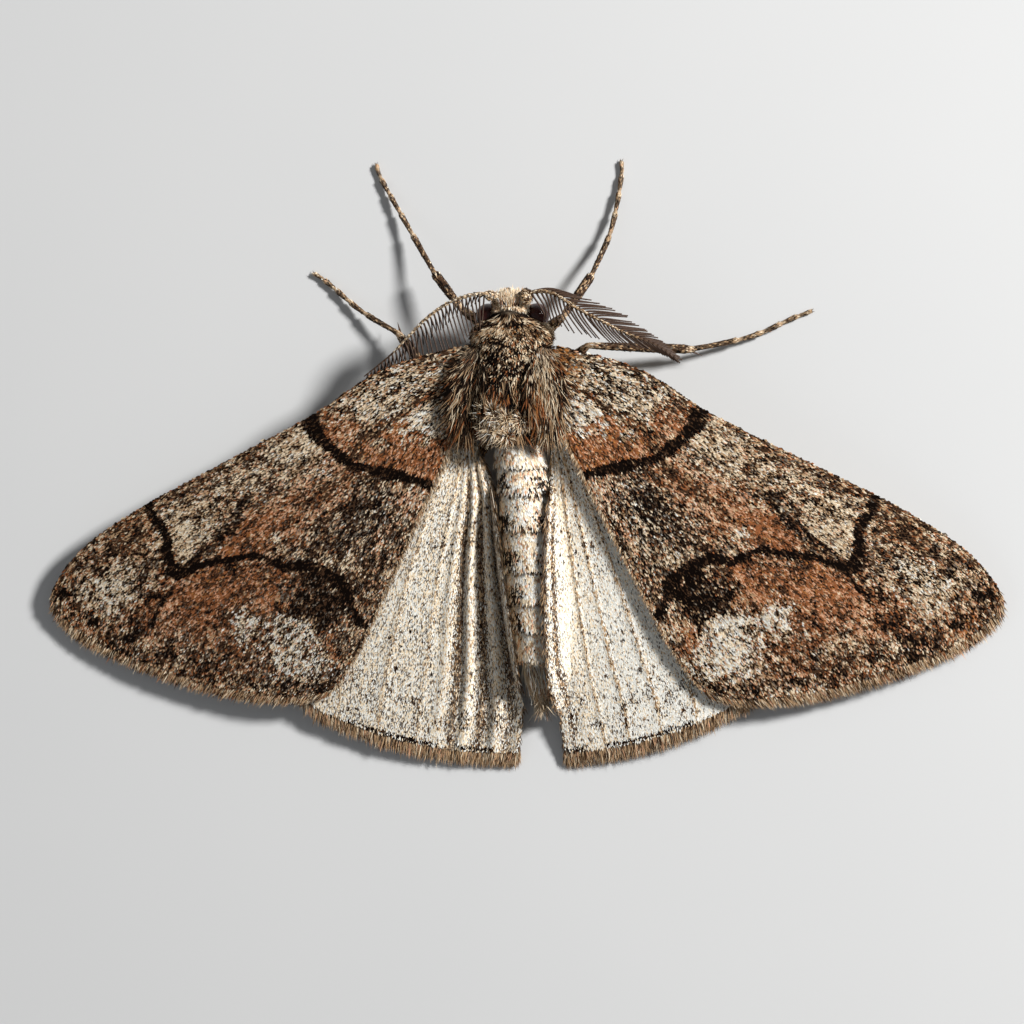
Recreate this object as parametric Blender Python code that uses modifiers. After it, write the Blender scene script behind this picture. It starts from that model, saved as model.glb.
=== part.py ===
"""A life-size looper moth (a male of the geometer family), set down flat with its wings spread.

Lengths are named in millimetres and turned into metres by MM. +Y points to the head, +X to the moth's
right and +Z up; the origin is on the floor below the middle of the moth.
"""

import math

import bmesh
import bpy
import numpy as np
from mathutils import Matrix, Vector

MM = 0.001

# Driving dimensions, in millimetres.
PART_GAP = 0.1  # left between neighbouring pieces
SHEET = 0.5  # thickness of wings, shoulder flaps and feelers
ROOF_PEAK = 3.3  # underside of the forewings at the body
ROOF_FALL = 2.75  # how far that underside sinks on the way to the margins
ROOF_SPAN = 22.0  # sideways reach of the roof
ROOF_LENGTH = 16.0  # backward reach of the roof
ROOF_FRONT = 4.0  # where the roof's ridge starts, along Y
ROOF_EDGE = 1.08  # share of the reach at which the whole fall is spent
ROOF_ROUNDNESS = 1.6
BESIDE_DROP = 4.0  # steepness with which a draped sheet comes down beside the trunk
HINDWING_HINGE = (1.7, 2.4)
HINDWING_RADIUS = 14.85  # hinge to the tip of the rear fringe
HINDWING_SWING = math.radians(3)  # both hindwings are swung this far towards the moth's left
DRAPE_FRONT = -1.0  # behind this line, along Y, the hindwings' folds lie over the abdomen
DRAPE_FADE = 3.0  # how steeply they come down to the wing's level ahead of it
DRAPE_REACH = 2.6  # the hindwings' folds climb the abdomen this far from the mid-plane
EYE_RADIUS = 0.60
EYE_CENTRE = (1.05, 6.22, 2.6)
BODY_SIDES = 18
LEG_SIDES = 2  # bevel resolution of a leg's tube
LEG_RADII = {"coxa": 0.36, "femur": 0.32, "tibia": 0.28, "tarsus": 0.25}

# The trunk from the front of the face to the tip of the tail:
# (place along Y, middle along X, underside, top, half width).
BODY_STATIONS = (
    (7.40, 0.00, 2.30, 3.15, 0.35),  # tuft on the face
    (7.05, 0.00, 1.85, 3.50, 0.72),
    (6.50, 0.00, 1.60, 3.70, 0.92),  # crown, between the eyes
    (6.05, 0.00, 1.55, 3.65, 1.02),  # neck
    (5.85, 0.00, 1.50, 3.75, 1.40),  # front of the collar
    (5.45, 0.00, 1.45, 3.95, 1.74),
    (4.90, 0.00, 1.40, 4.15, 1.64),
    (4.20, 0.00, 1.35, 4.35, 1.58),  # shoulders
    (3.20, 0.00, 1.35, 4.45, 1.58),
    (2.10, 0.05, 1.35, 4.45, 1.50),
    (1.00, 0.15, 1.30, 4.15, 1.20),  # back of the thoracic crest
    (0.85, 0.18, 1.15, 3.35, 1.05),  # waist
    (-0.90, 0.42, 1.00, 3.30, 1.12),
    (-2.65, 0.60, 0.92, 3.12, 1.22),
    (-4.35, 0.76, 0.84, 2.90, 1.22),
    (-7.00, 0.92, 0.70, 2.50, 1.05),
    (-8.60, 1.00, 0.65, 2.15, 0.85),
    (-10.45, 1.05, 0.75, 1.60, 0.35),  # tip of the tail tuft
)
# Where the trunk is parted: (node, front, back) along Y.
TRUNK_PARTS = (
    ("head", 7.40, 6.00),
    ("collar", 6.00, 5.35),
    ("thorax", 5.35, 2.10),
    ("thorax_crest", 2.10, 1.00),
)
ABDOMEN_BREAKS = (0.85, -0.05, -1.15, -2.65, -4.35, -5.70, -6.85, -8.10)
TAIL_TIP = -10.45

# Forewing margin, seen from above, as one smooth line from the root of its front edge round to the root
# of its rear edge, and the two places on it where the outer margin starts and ends.
FOREWING_MARGIN = (
    (1.90, 4.95),
    (5.40, 3.95),  # shoulder of the costa
    (8.40, 2.10),
    (12.50, 0.05),
    (16.40, -1.95),
    (19.05, -3.80),
    (20.25, -5.85),  # apex
    (19.25, -7.45),
    (16.40, -8.75),
    (13.00, -9.70),
    (9.90, -9.95),
    (7.75, -9.35),  # tornus
    (6.35, -7.60),
    (5.20, -5.20),  # inner margin
    (3.50, -1.50),
    (2.45, 0.80),
    (1.80, 2.10),
)
FOREWING_CORNERS = ((20.25, -5.85), (7.75, -9.35))
# Hindwing margin: the hidden front edge, then the rear fringe as an arc about the hinge, then the fold
# that lies along the abdomen.
HINDWING_FRONT_EDGE = (
    (1.76, 2.75),
    (4.80, 1.20),
    (8.20, -2.00),
    (10.50, -5.50),
    (10.80, -8.20),
)
HINDWING_ARC = (math.radians(-58), math.radians(-92), 9)  # from, to, points
HINDWING_FOLD = {
    "left": ((0.86, -11.80), (0.50, -10.00), (0.42, -8.40), (0.71, -4.40), (0.92, -1.60), (1.62, 0.90)),
    "right": ((1.12, -11.85), (1.02, -10.50), (0.86, -8.40), (1.10, -4.40), (1.38, -1.60), (1.66, 0.90)),
}
HINDWING_ROOT_BACK = (1.74, 1.75)
FOLD_CROWDING = 1.6  # the hindwing's lines crowd towards the fold

# Each leg as its joints: hip, end of coxa, knee, ankle, then the foot to its tip.
LEGS = {
    "leg_front_left": (
        (-0.50, 4.50, 0.90), (-0.80, 5.40, 0.65), (-2.30, 6.50, 1.75), (-3.56, 8.04, 1.15),
        (-4.73, 9.88, 0.55), (-6.00, 12.10, 0.24), (-6.26, 12.84, 0.24),
    ),
    "leg_front_right": (
        (0.50, 4.50, 0.90), (0.80, 5.40, 0.65), (2.00, 6.15, 1.80), (3.10, 7.90, 1.15),
        (3.80, 9.75, 0.55), (4.18, 12.00, 0.24), (4.20, 12.90, 0.24),
    ),
    "leg_middle_left": (
        (-0.45, 3.75, 0.95), (-1.05, 3.15, 0.60), (-2.30, 2.20, 1.75), (-5.17, 5.54, 0.85),
        (-6.85, 6.50, 0.40), (-8.40, 7.75, 0.24), (-9.08, 8.20, 0.24),
    ),
    "leg_middle_right": (
        (0.45, 3.10, 0.95), (1.05, 3.55, 0.60), (3.05, 4.95, 1.80), (7.33, 4.80, 0.85),
        (9.65, 5.33, 0.35), (11.40, 6.08, 0.24), (12.38, 6.45, 0.24),
    ),
    "leg_hind_left": (
        (-0.50, 2.25, 0.90), (-0.95, 1.60, 0.62), (-2.40, -0.60, 1.40), (-4.40, -5.10, 0.80),
        (-5.40, -7.40, 0.35), (-6.00, -8.90, 0.24), (-6.35, -9.70, 0.24),
    ),
    "leg_hind_right": (
        (0.50, 2.25, 0.90), (0.95, 1.60, 0.62), (2.60, -0.60, 1.40), (4.80, -5.00, 0.80),
        (5.90, -7.20, 0.35), (6.60, -8.65, 0.24), (7.00, -9.40, 0.24),
    ),
}

# Feelers: the shaft's line, and the way the comb leans off it at the root and at the tip.
ANTENNAE = {
    "antenna_left": {
        "shaft": (
            (-0.75, 6.90, 3.78), (-1.54, 7.00, 3.78), (-2.45, 6.72, 3.35), (-3.39, 6.15, 3.10),
            (-4.19, 5.45, 2.80), (-4.99, 4.70, 2.40), (-5.79, 4.10, 2.10), (-6.45, 3.60, 1.90),
        ),
        "lean": ((0.10, -0.80, -0.60), (0.15, -0.65, -0.75)),
        "reach": (0.0, 1.15),
    },
    "antenna_right": {
        "shaft": (
            (0.88, 7.00, 3.55), (1.84, 7.05, 3.75), (2.91, 6.45, 3.75), (3.95, 5.90, 3.65),
            (4.84, 5.45, 3.50), (6.18, 4.90, 3.30), (7.15, 4.25, 3.05),
        ),
        "lean": ((-0.55, -0.80, -0.15), (-0.45, -0.85, -0.20)),
        "reach": (0.50, 0.60),
    },
}
PALP = {"root": (0.34, 6.55, 1.22), "tip": (0.36, 7.20, 1.50), "radius": 0.25}
# Shoulder flap: its middle, half length and half width, seen from above.
TEGULA = {"middle": (1.70, 3.30), "half_width": 0.92, "half_length": 1.95}

COLOURS = {
    "head": (0.52, 0.40, 0.27),
    "thorax": (0.24, 0.18, 0.13),
    "abdomen": (0.60, 0.51, 0.42),
    "forewing": (0.24, 0.16, 0.11),
    "hindwing": (0.66, 0.62, 0.55),
    "leg": (0.20, 0.14, 0.10),
    "antenna": (0.16, 0.11, 0.08),
    "eye": (0.06, 0.02, 0.02),
}


def clear_scene():
    for obj in list(bpy.data.objects):
        bpy.data.objects.remove(obj, do_unlink=True)


def new_collection(name):
    collection = bpy.data.collections.new(name)
    bpy.context.scene.collection.children.link(collection)
    return collection


def make_material(name):
    material = bpy.data.materials.new(name)
    material.use_nodes = True
    shader = material.node_tree.nodes["Principled BSDF"]
    shader.inputs["Base Color"].default_value = (*COLOURS[name], 1.0)
    shader.inputs["Roughness"].default_value = 0.15 if name == "eye" else 0.75
    shader.inputs["Metallic"].default_value = 0.0
    return material


def add_object(name, mesh, material):
    obj = bpy.data.objects.new(name, mesh)
    mesh.materials.append(MATERIALS[material])
    mesh.shade_smooth()
    mesh.set_sharp_from_angle(angle=math.radians(50))
    MOTH.objects.link(obj)
    return obj


def mesh_from(bm, name):
    mesh = bpy.data.meshes.new(name)
    bm.to_mesh(mesh)
    bm.free()
    return mesh


def smooth_line(points, count):
    """`count` points evenly spaced along the Catmull-Rom curve through `points`."""
    p = np.array(points, float)
    p = np.vstack([2 * p[0] - p[1], p, 2 * p[-1] - p[-2]])
    t = np.linspace(0, 1, 24, endpoint=False)[:, None]
    stretches = [
        0.5 * (2 * b + (c - a) * t + (2 * a - 5 * b + 4 * c - d) * t**2 + (3 * b - a - 3 * c + d) * t**3)
        for a, b, c, d in zip(p, p[1:], p[2:], p[3:])
    ]
    fine = np.vstack([*stretches, p[-2][None]])
    along = np.concatenate([[0], np.cumsum(np.linalg.norm(np.diff(fine, axis=0), axis=1))])
    wanted = np.linspace(0, along[-1], count)
    return np.stack([np.interp(wanted, along, fine[:, axis]) for axis in range(p.shape[1])], axis=1)


def body_at(y):
    """(middle along X, middle along Z, half width, half height) of the trunk at `y`."""
    stations = np.array(BODY_STATIONS)[::-1]
    middle, low, high, half_width = (np.interp(y, stations[:, 0], stations[:, i]) for i in (1, 2, 3, 4))
    return middle, (low + high) / 2, half_width, (high - low) / 2


def body_top(x, y, clearance):
    """Height of the trunk's upper side grown by `clearance`; beside the trunk it drops away steeply."""
    middle, centre, half_width, half_height = body_at(y)
    across = np.abs(x - middle) / (half_width + clearance)
    over = (half_height + clearance) * np.sqrt(1 - np.clip(across, 0, 1) ** 2)
    return centre + over - BESIDE_DROP * np.clip(across - 1, 0, None)


def roof(x, y):
    """Height of the forewings' underside: a dome that falls from the body to the wings' margins."""
    out = np.sqrt((x / ROOF_SPAN) ** 2 + ((y - ROOF_FRONT) / ROOF_LENGTH) ** 2)
    return ROOF_PEAK - ROOF_FALL * (out / ROOF_EDGE) ** ROOF_ROUNDNESS


def smooth_max(a, b, softness):
    """The larger of two heights, rounded where they meet."""
    return 0.5 * (a + b + np.sqrt((a - b) ** 2 + softness**2))


def body_ring(y):
    """One elliptical ring of the trunk at `y`."""
    middle, centre, half_width, half_height = body_at(y)
    turn = np.arange(BODY_SIDES) * 2 * math.pi / BODY_SIDES
    return np.stack(
        [middle + half_width * np.cos(turn), np.full(BODY_SIDES, y), centre + half_height * np.sin(turn)],
        axis=1,
    )


def trunk_part(name, front, back, material):
    """A length of the trunk, lofted through its rings, with flat ends that leave half a gap."""
    first = front if front == BODY_STATIONS[0][0] else front - PART_GAP / 2
    last = back if back == TAIL_TIP else back + PART_GAP / 2
    inner = [row[0] for row in BODY_STATIONS if last + PART_GAP < row[0] < first - PART_GAP]
    bm = bmesh.new()
    rings = [[bm.verts.new(Vector(p) * MM) for p in body_ring(y)] for y in (first, *inner, last)]
    for ring, following in zip(rings, rings[1:]):
        for i in range(BODY_SIDES):
            j = (i + 1) % BODY_SIDES
            bm.faces.new((ring[i], ring[j], following[j], following[i]))
    bm.faces.new(rings[0][::-1])
    bm.faces.new(rings[-1])
    bmesh.ops.recalc_face_normals(bm, faces=bm.faces)
    return add_object(name, mesh_from(bm, name), material)


def eye(name, side):
    """A ball, with a slightly larger one as the cutter of its socket."""
    centre = Vector((side * EYE_CENTRE[0], EYE_CENTRE[1], EYE_CENTRE[2])) * MM
    bm = bmesh.new()
    bmesh.ops.create_uvsphere(bm, u_segments=16, v_segments=10, radius=EYE_RADIUS * MM)
    ball = add_object(name, mesh_from(bm, name), "eye")
    ball.location = centre
    bm = bmesh.new()
    bmesh.ops.create_uvsphere(bm, u_segments=18, v_segments=11, radius=(EYE_RADIUS + PART_GAP) * MM)
    socket = bpy.data.objects.new(name + "_socket", mesh_from(bm, name + "_socket"))
    socket.location = centre
    socket.hide_render = True
    socket.display_type = "WIRE"
    CUTTERS.objects.link(socket)
    return socket


def cut(obj, cutter):
    modifier = obj.modifiers.new(cutter.name, "BOOLEAN")
    modifier.operation = "DIFFERENCE"
    modifier.object = cutter


def sheet(name, columns, rows, place, material, thickness=SHEET):
    """A grid whose (u, v) points are moved to place(u, v), thickened upwards by Solidify."""
    bm = bmesh.new()
    bmesh.ops.create_grid(bm, x_segments=columns, y_segments=rows, size=0.5)
    uv = np.array([vert.co[:2] for vert in bm.verts]) + 0.5
    for vert, point in zip(bm.verts, place(uv[:, 0], uv[:, 1])):
        vert.co = Vector(point) * MM
    bm.normal_update()
    if sum(face.normal.z * face.calc_area() for face in bm.faces) < 0:
        bmesh.ops.reverse_faces(bm, faces=bm.faces)
    obj = add_object(name, mesh_from(bm, name), material)
    thicken = obj.modifiers.new("thickness", "SOLIDIFY")
    thicken.thickness = thickness * MM
    thicken.offset = 1.0
    return obj


def wing_patch(u, v, margin, corners):
    """Points of a Coons patch in a wing's margin: u runs outwards, v from the front edge to the rear one."""
    apex, tornus = (int(np.argmin(np.linalg.norm(margin - corner, axis=1))) for corner in corners)
    front, outer, rear = margin[: apex + 1], margin[apex : tornus + 1], margin[tornus:][::-1]

    def along(line, t):
        steps = np.linspace(0, 1, len(line))
        return np.stack([np.interp(t, steps, line[:, axis]) for axis in (0, 1)], axis=1)

    u, v = u[:, None], v[:, None]
    root = front[0] + v * (rear[0] - front[0])
    lengthwise = (1 - v) * along(front, u[:, 0]) + v * along(rear, u[:, 0])
    crosswise = (1 - u) * root + u * along(outer, v[:, 0])
    corner_blend = (1 - u) * root + u * ((1 - v) * outer[0] + v * outer[-1])
    return lengthwise + crosswise - corner_blend


def forewing(name, side):
    margin = smooth_line(FOREWING_MARGIN, 240)

    def place(u, v):
        flat = wing_patch(u, v, margin, FOREWING_CORNERS)
        return np.column_stack([side * flat[:, 0], flat[:, 1], roof(flat[:, 0], flat[:, 1])])

    sheet(name, 18, 12, place, "forewing")


def hindwing(word, side):
    first, last, count = HINDWING_ARC
    hinge = np.array(HINDWING_HINGE)
    angles = np.linspace(first, last, count)
    arc = hinge + HINDWING_RADIUS * np.column_stack([np.cos(angles), np.sin(angles)])
    edges = [*HINDWING_FRONT_EDGE, *arc, *HINDWING_FOLD[word], HINDWING_ROOT_BACK]
    margin = smooth_line(edges, 240)
    swing = side * HINDWING_SWING
    turn = np.array([[math.cos(swing), -math.sin(swing)], [math.sin(swing), math.cos(swing)]])

    def place(u, v):
        flat = wing_patch(u, 1 - (1 - v) ** FOLD_CROWDING, margin, (HINDWING_FRONT_EDGE[-1], arc[-1]))
        swung = hinge + (flat - hinge) @ turn.T
        # The root stays on the body while the rest of the wing swings.
        settled = np.clip(np.linalg.norm(flat - hinge, axis=1) / 2.5, 0, 1)[:, None]
        flat = flat + (swung - flat) * settled
        x, y = side * flat[:, 0], flat[:, 1]
        below_forewing = roof(x, y) - SHEET - 1.5 * PART_GAP
        fade = DRAPE_FADE * np.maximum(y - DRAPE_FRONT, 0)
        over_abdomen = np.where(x * x < DRAPE_REACH**2, body_top(x, y, 2 * PART_GAP) - fade, 0)
        height = smooth_max(below_forewing, over_abdomen, 0.1)
        return np.column_stack([x, y, np.maximum(height, 0)])

    sheet(f"hindwing_{word}", 18, 12, place, "hindwing")


def tegula(name, side):
    """A leaf-shaped shoulder flap draped over the root of the forewing and the side of the thorax."""

    def place(u, v):
        turn, out = 2 * math.pi * v, 0.08 + 0.92 * u
        x = TEGULA["middle"][0] + TEGULA["half_width"] * out * np.sin(turn) * (1 + 0.25 * np.cos(turn))
        y = TEGULA["middle"][1] + TEGULA["half_length"] * out * np.cos(turn)
        over_wing = roof(x, y) + SHEET + 1.2 * PART_GAP
        over_body = body_top(x, y, 1.5 * PART_GAP)
        return np.column_stack([side * x, y, smooth_max(over_wing, over_body, 0.2)])

    leaf(name, place, 4, 16, "thorax")


def leaf(name, place, rings, spokes, material):
    """A disc of rings and spokes placed by place(u, v), closed at its middle and thickened."""
    bm = bmesh.new()
    u, v = np.meshgrid(np.linspace(1, 0, rings), np.arange(spokes) / spokes, indexing="ij")
    points = place(u.ravel(), v.ravel()).reshape(rings, spokes, 3)
    verts = [[bm.verts.new(Vector(p) * MM) for p in ring] for ring in points]
    for ring, following in zip(verts, verts[1:]):
        for i in range(spokes):
            j = (i + 1) % spokes
            bm.faces.new((ring[i], ring[j], following[j], following[i]))
    bm.faces.new(verts[-1])
    bm.normal_update()
    if sum(face.normal.z * face.calc_area() for face in bm.faces) < 0:
        bmesh.ops.reverse_faces(bm, faces=bm.faces)
    obj = add_object(name, mesh_from(bm, name), material)
    thicken = obj.modifiers.new("thickness", "SOLIDIFY")
    thicken.thickness = 0.8 * SHEET * MM
    thicken.offset = 1.0


def tube(name, points, radii, material):
    """A round tube through `points`, made as a bevelled curve and turned into a mesh that the floor flattens."""
    curve = bpy.data.curves.new(name, "CURVE")
    curve.dimensions = "3D"
    curve.bevel_depth = MM
    curve.bevel_resolution = LEG_SIDES
    curve.use_fill_caps = True
    spline = curve.splines.new("POLY")
    spline.points.add(len(points) - 1)
    for spot, point, radius in zip(spline.points, points, radii):
        spot.co = (*(Vector(point) * MM), 1.0)
        spot.radius = radius
    guide = bpy.data.objects.new(name + "_line", curve)
    MOTH.objects.link(guide)
    bpy.context.view_layer.update()
    mesh = bpy.data.meshes.new_from_object(guide.evaluated_get(bpy.context.evaluated_depsgraph_get()))
    mesh.name = name
    bpy.data.objects.remove(guide)
    bm = bmesh.new()
    bm.from_mesh(mesh)
    bmesh.ops.remove_doubles(bm, verts=bm.verts, dist=0.002 * MM)
    for vert in bm.verts:
        vert.co.z = max(vert.co.z, 0.0)
    bmesh.ops.recalc_face_normals(bm, faces=bm.faces)
    bm.to_mesh(mesh)
    bm.free()
    return add_object(name, mesh, material)


def trimmed(start, end, trim_start, trim_end):
    along = (end - start).normalized()
    return start + along * trim_start, end - along * trim_end


def joint_trim(before, joint, after, radius):
    """How far a tube stops short of a bend so that it clears the next one by half a gap."""
    bend = (joint - before).angle(after - joint)
    return radius * math.tan(bend / 2) + PART_GAP / 2


def leg(name, joints):
    spots = [Vector(p) for p in joints]
    for i, segment in enumerate(("coxa", "femur", "tibia")):
        radius = LEG_RADII[segment]
        trim_start = joint_trim(spots[i - 1], spots[i], spots[i + 1], LEG_RADII["coxa"]) if i else 0
        trim_end = joint_trim(spots[i], spots[i + 1], spots[i + 2], radius)
        start, end = trimmed(spots[i], spots[i + 1], trim_start, trim_end)
        middle = (start + end) / 2
        radii = (radius * 0.85, radius, radius * 0.9)
        tube(f"{name}_{segment}", (start, middle, end), radii, "leg")
    foot = [Vector(p) for p in smooth_line(spots[3:], 7)]
    foot[0], _ = trimmed(foot[0], foot[1], joint_trim(spots[2], spots[3], spots[4], 0.28), 0)
    tube(f"{name}_tarsus", foot, [LEG_RADII["tarsus"]] * len(foot), "leg")


def antenna(name, shape):
    """A narrow leaf that holds the shaft and both rows of comb teeth."""
    shaft = smooth_line(shape["shaft"], 60)
    steps = np.linspace(0, 1, len(shaft))
    lean = np.array(shape["lean"], float)
    before, after = shape["reach"]

    def place(u, v):
        line = np.stack([np.interp(v, steps, shaft[:, axis]) for axis in range(3)], axis=1)
        side = lean[0] + v[:, None] * (lean[1] - lean[0])
        side /= np.linalg.norm(side, axis=1)[:, None]
        comb = np.sin(math.pi * v**0.75) ** 0.6
        offset = (2 * u - 1) * SHEET / 2 + (-before + (before + after) * u) * comb
        return line + side * offset[:, None]

    sheet(name, 3, 16, place, "antenna", SHEET)


def build():
    for name, front, back in TRUNK_PARTS:
        trunk_part(name, front, back, "head" if name == "head" else "thorax")
    for i, (front, back) in enumerate(zip(ABDOMEN_BREAKS, ABDOMEN_BREAKS[1:])):
        trunk_part(f"abdomen_{i + 1}", front, back, "abdomen")
    trunk_part("tail_tuft", ABDOMEN_BREAKS[-1], TAIL_TIP, "abdomen")
    for side, word in ((-1, "left"), (1, "right")):
        socket = eye(f"eye_{word}", side)
        cut(MOTH.objects["head"], socket)
        cut(MOTH.objects["collar"], socket)
        forewing(f"forewing_{word}", side)
        hindwing(word, side)
        tegula(f"tegula_{word}", side)
        ends = [Vector((side * x, y, z)) for x, y, z in (PALP["root"], PALP["tip"])]
        tube(f"palp_{word}", ends, (PALP["radius"], PALP["radius"]), "head")
    for name, joints in LEGS.items():
        leg(name, joints)
    for name, shape in ANTENNAE.items():
        antenna(name, shape)


clear_scene()
MOTH = new_collection("moth")
CUTTERS = new_collection("cutters")
MATERIALS = {name: make_material(name) for name in COLOURS}
build()
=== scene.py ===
"""Looks of a male looper moth at rest: skins, wing scales, hair-scales, comb-like feelers and banded legs.

Lengths are in millimetres and are turned into metres where a mesh is made. +Y points to the head, +X to
the moth's right and +Z up, as in the solids. u runs outwards or backwards over a surface and v across or
round it, both from 0 to 1.
"""

import math

import bpy
import numpy as np
from mathutils import Matrix, Vector


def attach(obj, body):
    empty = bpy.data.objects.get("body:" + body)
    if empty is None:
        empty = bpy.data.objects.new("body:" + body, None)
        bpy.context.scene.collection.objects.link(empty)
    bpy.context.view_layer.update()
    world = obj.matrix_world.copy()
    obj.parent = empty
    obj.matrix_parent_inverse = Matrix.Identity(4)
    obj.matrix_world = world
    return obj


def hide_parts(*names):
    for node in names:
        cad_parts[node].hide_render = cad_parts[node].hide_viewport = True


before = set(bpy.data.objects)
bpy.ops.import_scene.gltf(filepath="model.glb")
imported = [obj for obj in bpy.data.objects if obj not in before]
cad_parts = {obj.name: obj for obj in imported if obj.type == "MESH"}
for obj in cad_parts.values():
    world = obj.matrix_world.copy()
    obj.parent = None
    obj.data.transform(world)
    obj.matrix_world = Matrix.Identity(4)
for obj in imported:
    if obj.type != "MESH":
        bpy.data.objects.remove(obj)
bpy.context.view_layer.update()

MM = 0.001
TAU = 2 * math.pi
SIDES = ((-1, "left"), (1, "right"))

# Sizes shared with the solids.
PART_GAP = 0.1
SHEET = 0.5
ROOF_PEAK, ROOF_FALL, ROOF_SPAN, ROOF_LENGTH = 3.3, 2.75, 22.0, 16.0
ROOF_FRONT, ROOF_EDGE, ROOF_ROUNDNESS = 4.0, 1.08, 1.6
BESIDE_DROP = 4.0
HINDWING_HINGE, HINDWING_RADIUS, HINDWING_SWING = (1.7, 2.4), 14.85, math.radians(3)
SWING_REACH = 2.5
DRAPE_FRONT, DRAPE_FADE, DRAPE_REACH = -1.0, 3.0, 2.6
EYE_RADIUS, EYE_CENTRE = 0.52, (1.02, 6.18, 2.55)
TAIL_TIP = -10.45

# The trunk: (place along Y, middle along X, underside, top, half width).
BODY_STATIONS = (
    (7.40, 0.00, 2.30, 3.15, 0.35),
    (7.05, 0.00, 1.85, 3.50, 0.72),
    (6.50, 0.00, 1.60, 3.70, 0.92),
    (6.05, 0.00, 1.55, 3.65, 1.02),
    (5.85, 0.00, 1.50, 3.75, 1.40),
    (5.45, 0.00, 1.45, 3.95, 1.74),
    (4.90, 0.00, 1.40, 4.15, 1.64),
    (4.20, 0.00, 1.35, 4.35, 1.58),
    (3.20, 0.00, 1.35, 4.45, 1.58),
    (2.10, 0.05, 1.35, 4.45, 1.50),
    (1.00, 0.15, 1.30, 4.15, 1.20),
    (0.85, 0.18, 1.15, 3.35, 1.05),
    (-0.90, 0.42, 1.00, 3.30, 1.12),
    (-2.65, 0.60, 0.92, 3.12, 1.22),
    (-4.35, 0.76, 0.84, 2.90, 1.22),
    (-7.00, 0.92, 0.70, 2.50, 1.05),
    (-8.60, 1.00, 0.65, 2.15, 0.85),
    (-10.45, 1.05, 0.75, 1.60, 0.35),
)
ABDOMEN_BREAKS = (0.85, -0.05, -1.15, -2.65, -4.35, -5.70, -6.85, -8.10)
TRUNK_NODES = ("head", "collar", "thorax", "thorax_crest", "tail_tuft") + tuple(
    f"abdomen_{i}" for i in range(1, len(ABDOMEN_BREAKS))
)
# Depth of the coat over the skin of the trunk: (place along Y, depth).
COAT_DEPTH = (
    (7.4, 0.16), (6.4, 0.16), (6.0, 0.10), (5.0, 0.16), (3.6, 0.28), (1.6, 0.34), (0.6, 0.10),
    (-8.0, 0.10), (-9.5, 0.3),
)

FOREWING_MARGIN = (
    (1.90, 4.95), (5.40, 3.95), (8.40, 2.10), (12.50, 0.05), (16.40, -1.95), (19.05, -3.80),
    (20.25, -5.85), (19.25, -7.45), (16.40, -8.75), (13.00, -9.70), (9.90, -9.95), (7.75, -9.35),
    (6.35, -7.60), (5.20, -5.20), (3.50, -1.50), (2.45, 0.80), (1.80, 2.10),
)
FOREWING_CORNERS = ((20.25, -5.85), (7.75, -9.35))
HINDWING_FRONT_EDGE = ((1.76, 2.75), (4.80, 1.20), (8.20, -2.00), (10.50, -5.50), (10.80, -8.20))
HINDWING_ARC = (math.radians(-58), math.radians(-92), 9)
HINDWING_FOLD = {
    -1: ((0.86, -11.80), (0.50, -10.00), (0.42, -8.40), (0.71, -4.40), (0.92, -1.60), (1.62, 0.90)),
    1: ((1.12, -11.85), (1.02, -10.50), (0.86, -8.40), (1.10, -4.40), (1.38, -1.60), (1.66, 0.90)),
}
HINDWING_ROOT_BACK = (1.74, 1.75)
FOLD_CROWDING = 1.6

# Each leg as its joints: hip, end of coxa, knee, ankle, then the foot to its tip.
LEGS = {
    "leg_front_left": (
        (-0.50, 4.50, 1.20), (-0.80, 5.40, 0.75), (-2.30, 6.50, 1.75), (-3.56, 8.04, 1.15),
        (-4.73, 9.88, 0.50), (-6.00, 12.00, 0.14), (-6.24, 12.68, 0.12),
    ),
    "leg_front_right": (
        (0.50, 4.50, 1.20), (0.80, 5.40, 0.75), (2.00, 6.15, 1.80), (3.10, 7.90, 1.15),
        (3.80, 9.75, 0.50), (4.18, 11.90, 0.14), (4.20, 12.72, 0.12),
    ),
    "leg_middle_left": (
        (-0.45, 3.75, 1.20), (-1.05, 3.15, 0.70), (-2.30, 2.20, 1.75), (-5.17, 5.54, 0.85),
        (-6.85, 6.50, 0.36), (-8.30, 7.68, 0.14), (-8.95, 8.12, 0.12),
    ),
    "leg_middle_right": (
        (0.45, 3.10, 1.20), (1.05, 3.55, 0.70), (3.05, 4.95, 1.80), (7.33, 4.80, 0.85),
        (9.65, 5.33, 0.33), (11.30, 6.05, 0.14), (12.22, 6.40, 0.12),
    ),
    "leg_hind_left": (
        (-0.50, 2.25, 1.20), (-0.95, 1.60, 0.70), (-2.40, -0.60, 1.40), (-4.40, -5.10, 0.80),
        (-5.40, -7.40, 0.33), (-5.97, -8.80, 0.14), (-6.30, -9.52, 0.12),
    ),
    "leg_hind_right": (
        (0.50, 2.25, 1.20), (0.95, 1.60, 0.70), (2.60, -0.60, 1.40), (4.80, -5.00, 0.80),
        (5.90, -7.20, 0.33), (6.57, -8.55, 0.14), (6.94, -9.24, 0.12),
    ),
}
LEG_PARTS = ("coxa", "femur", "tibia", "tarsus")

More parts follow.
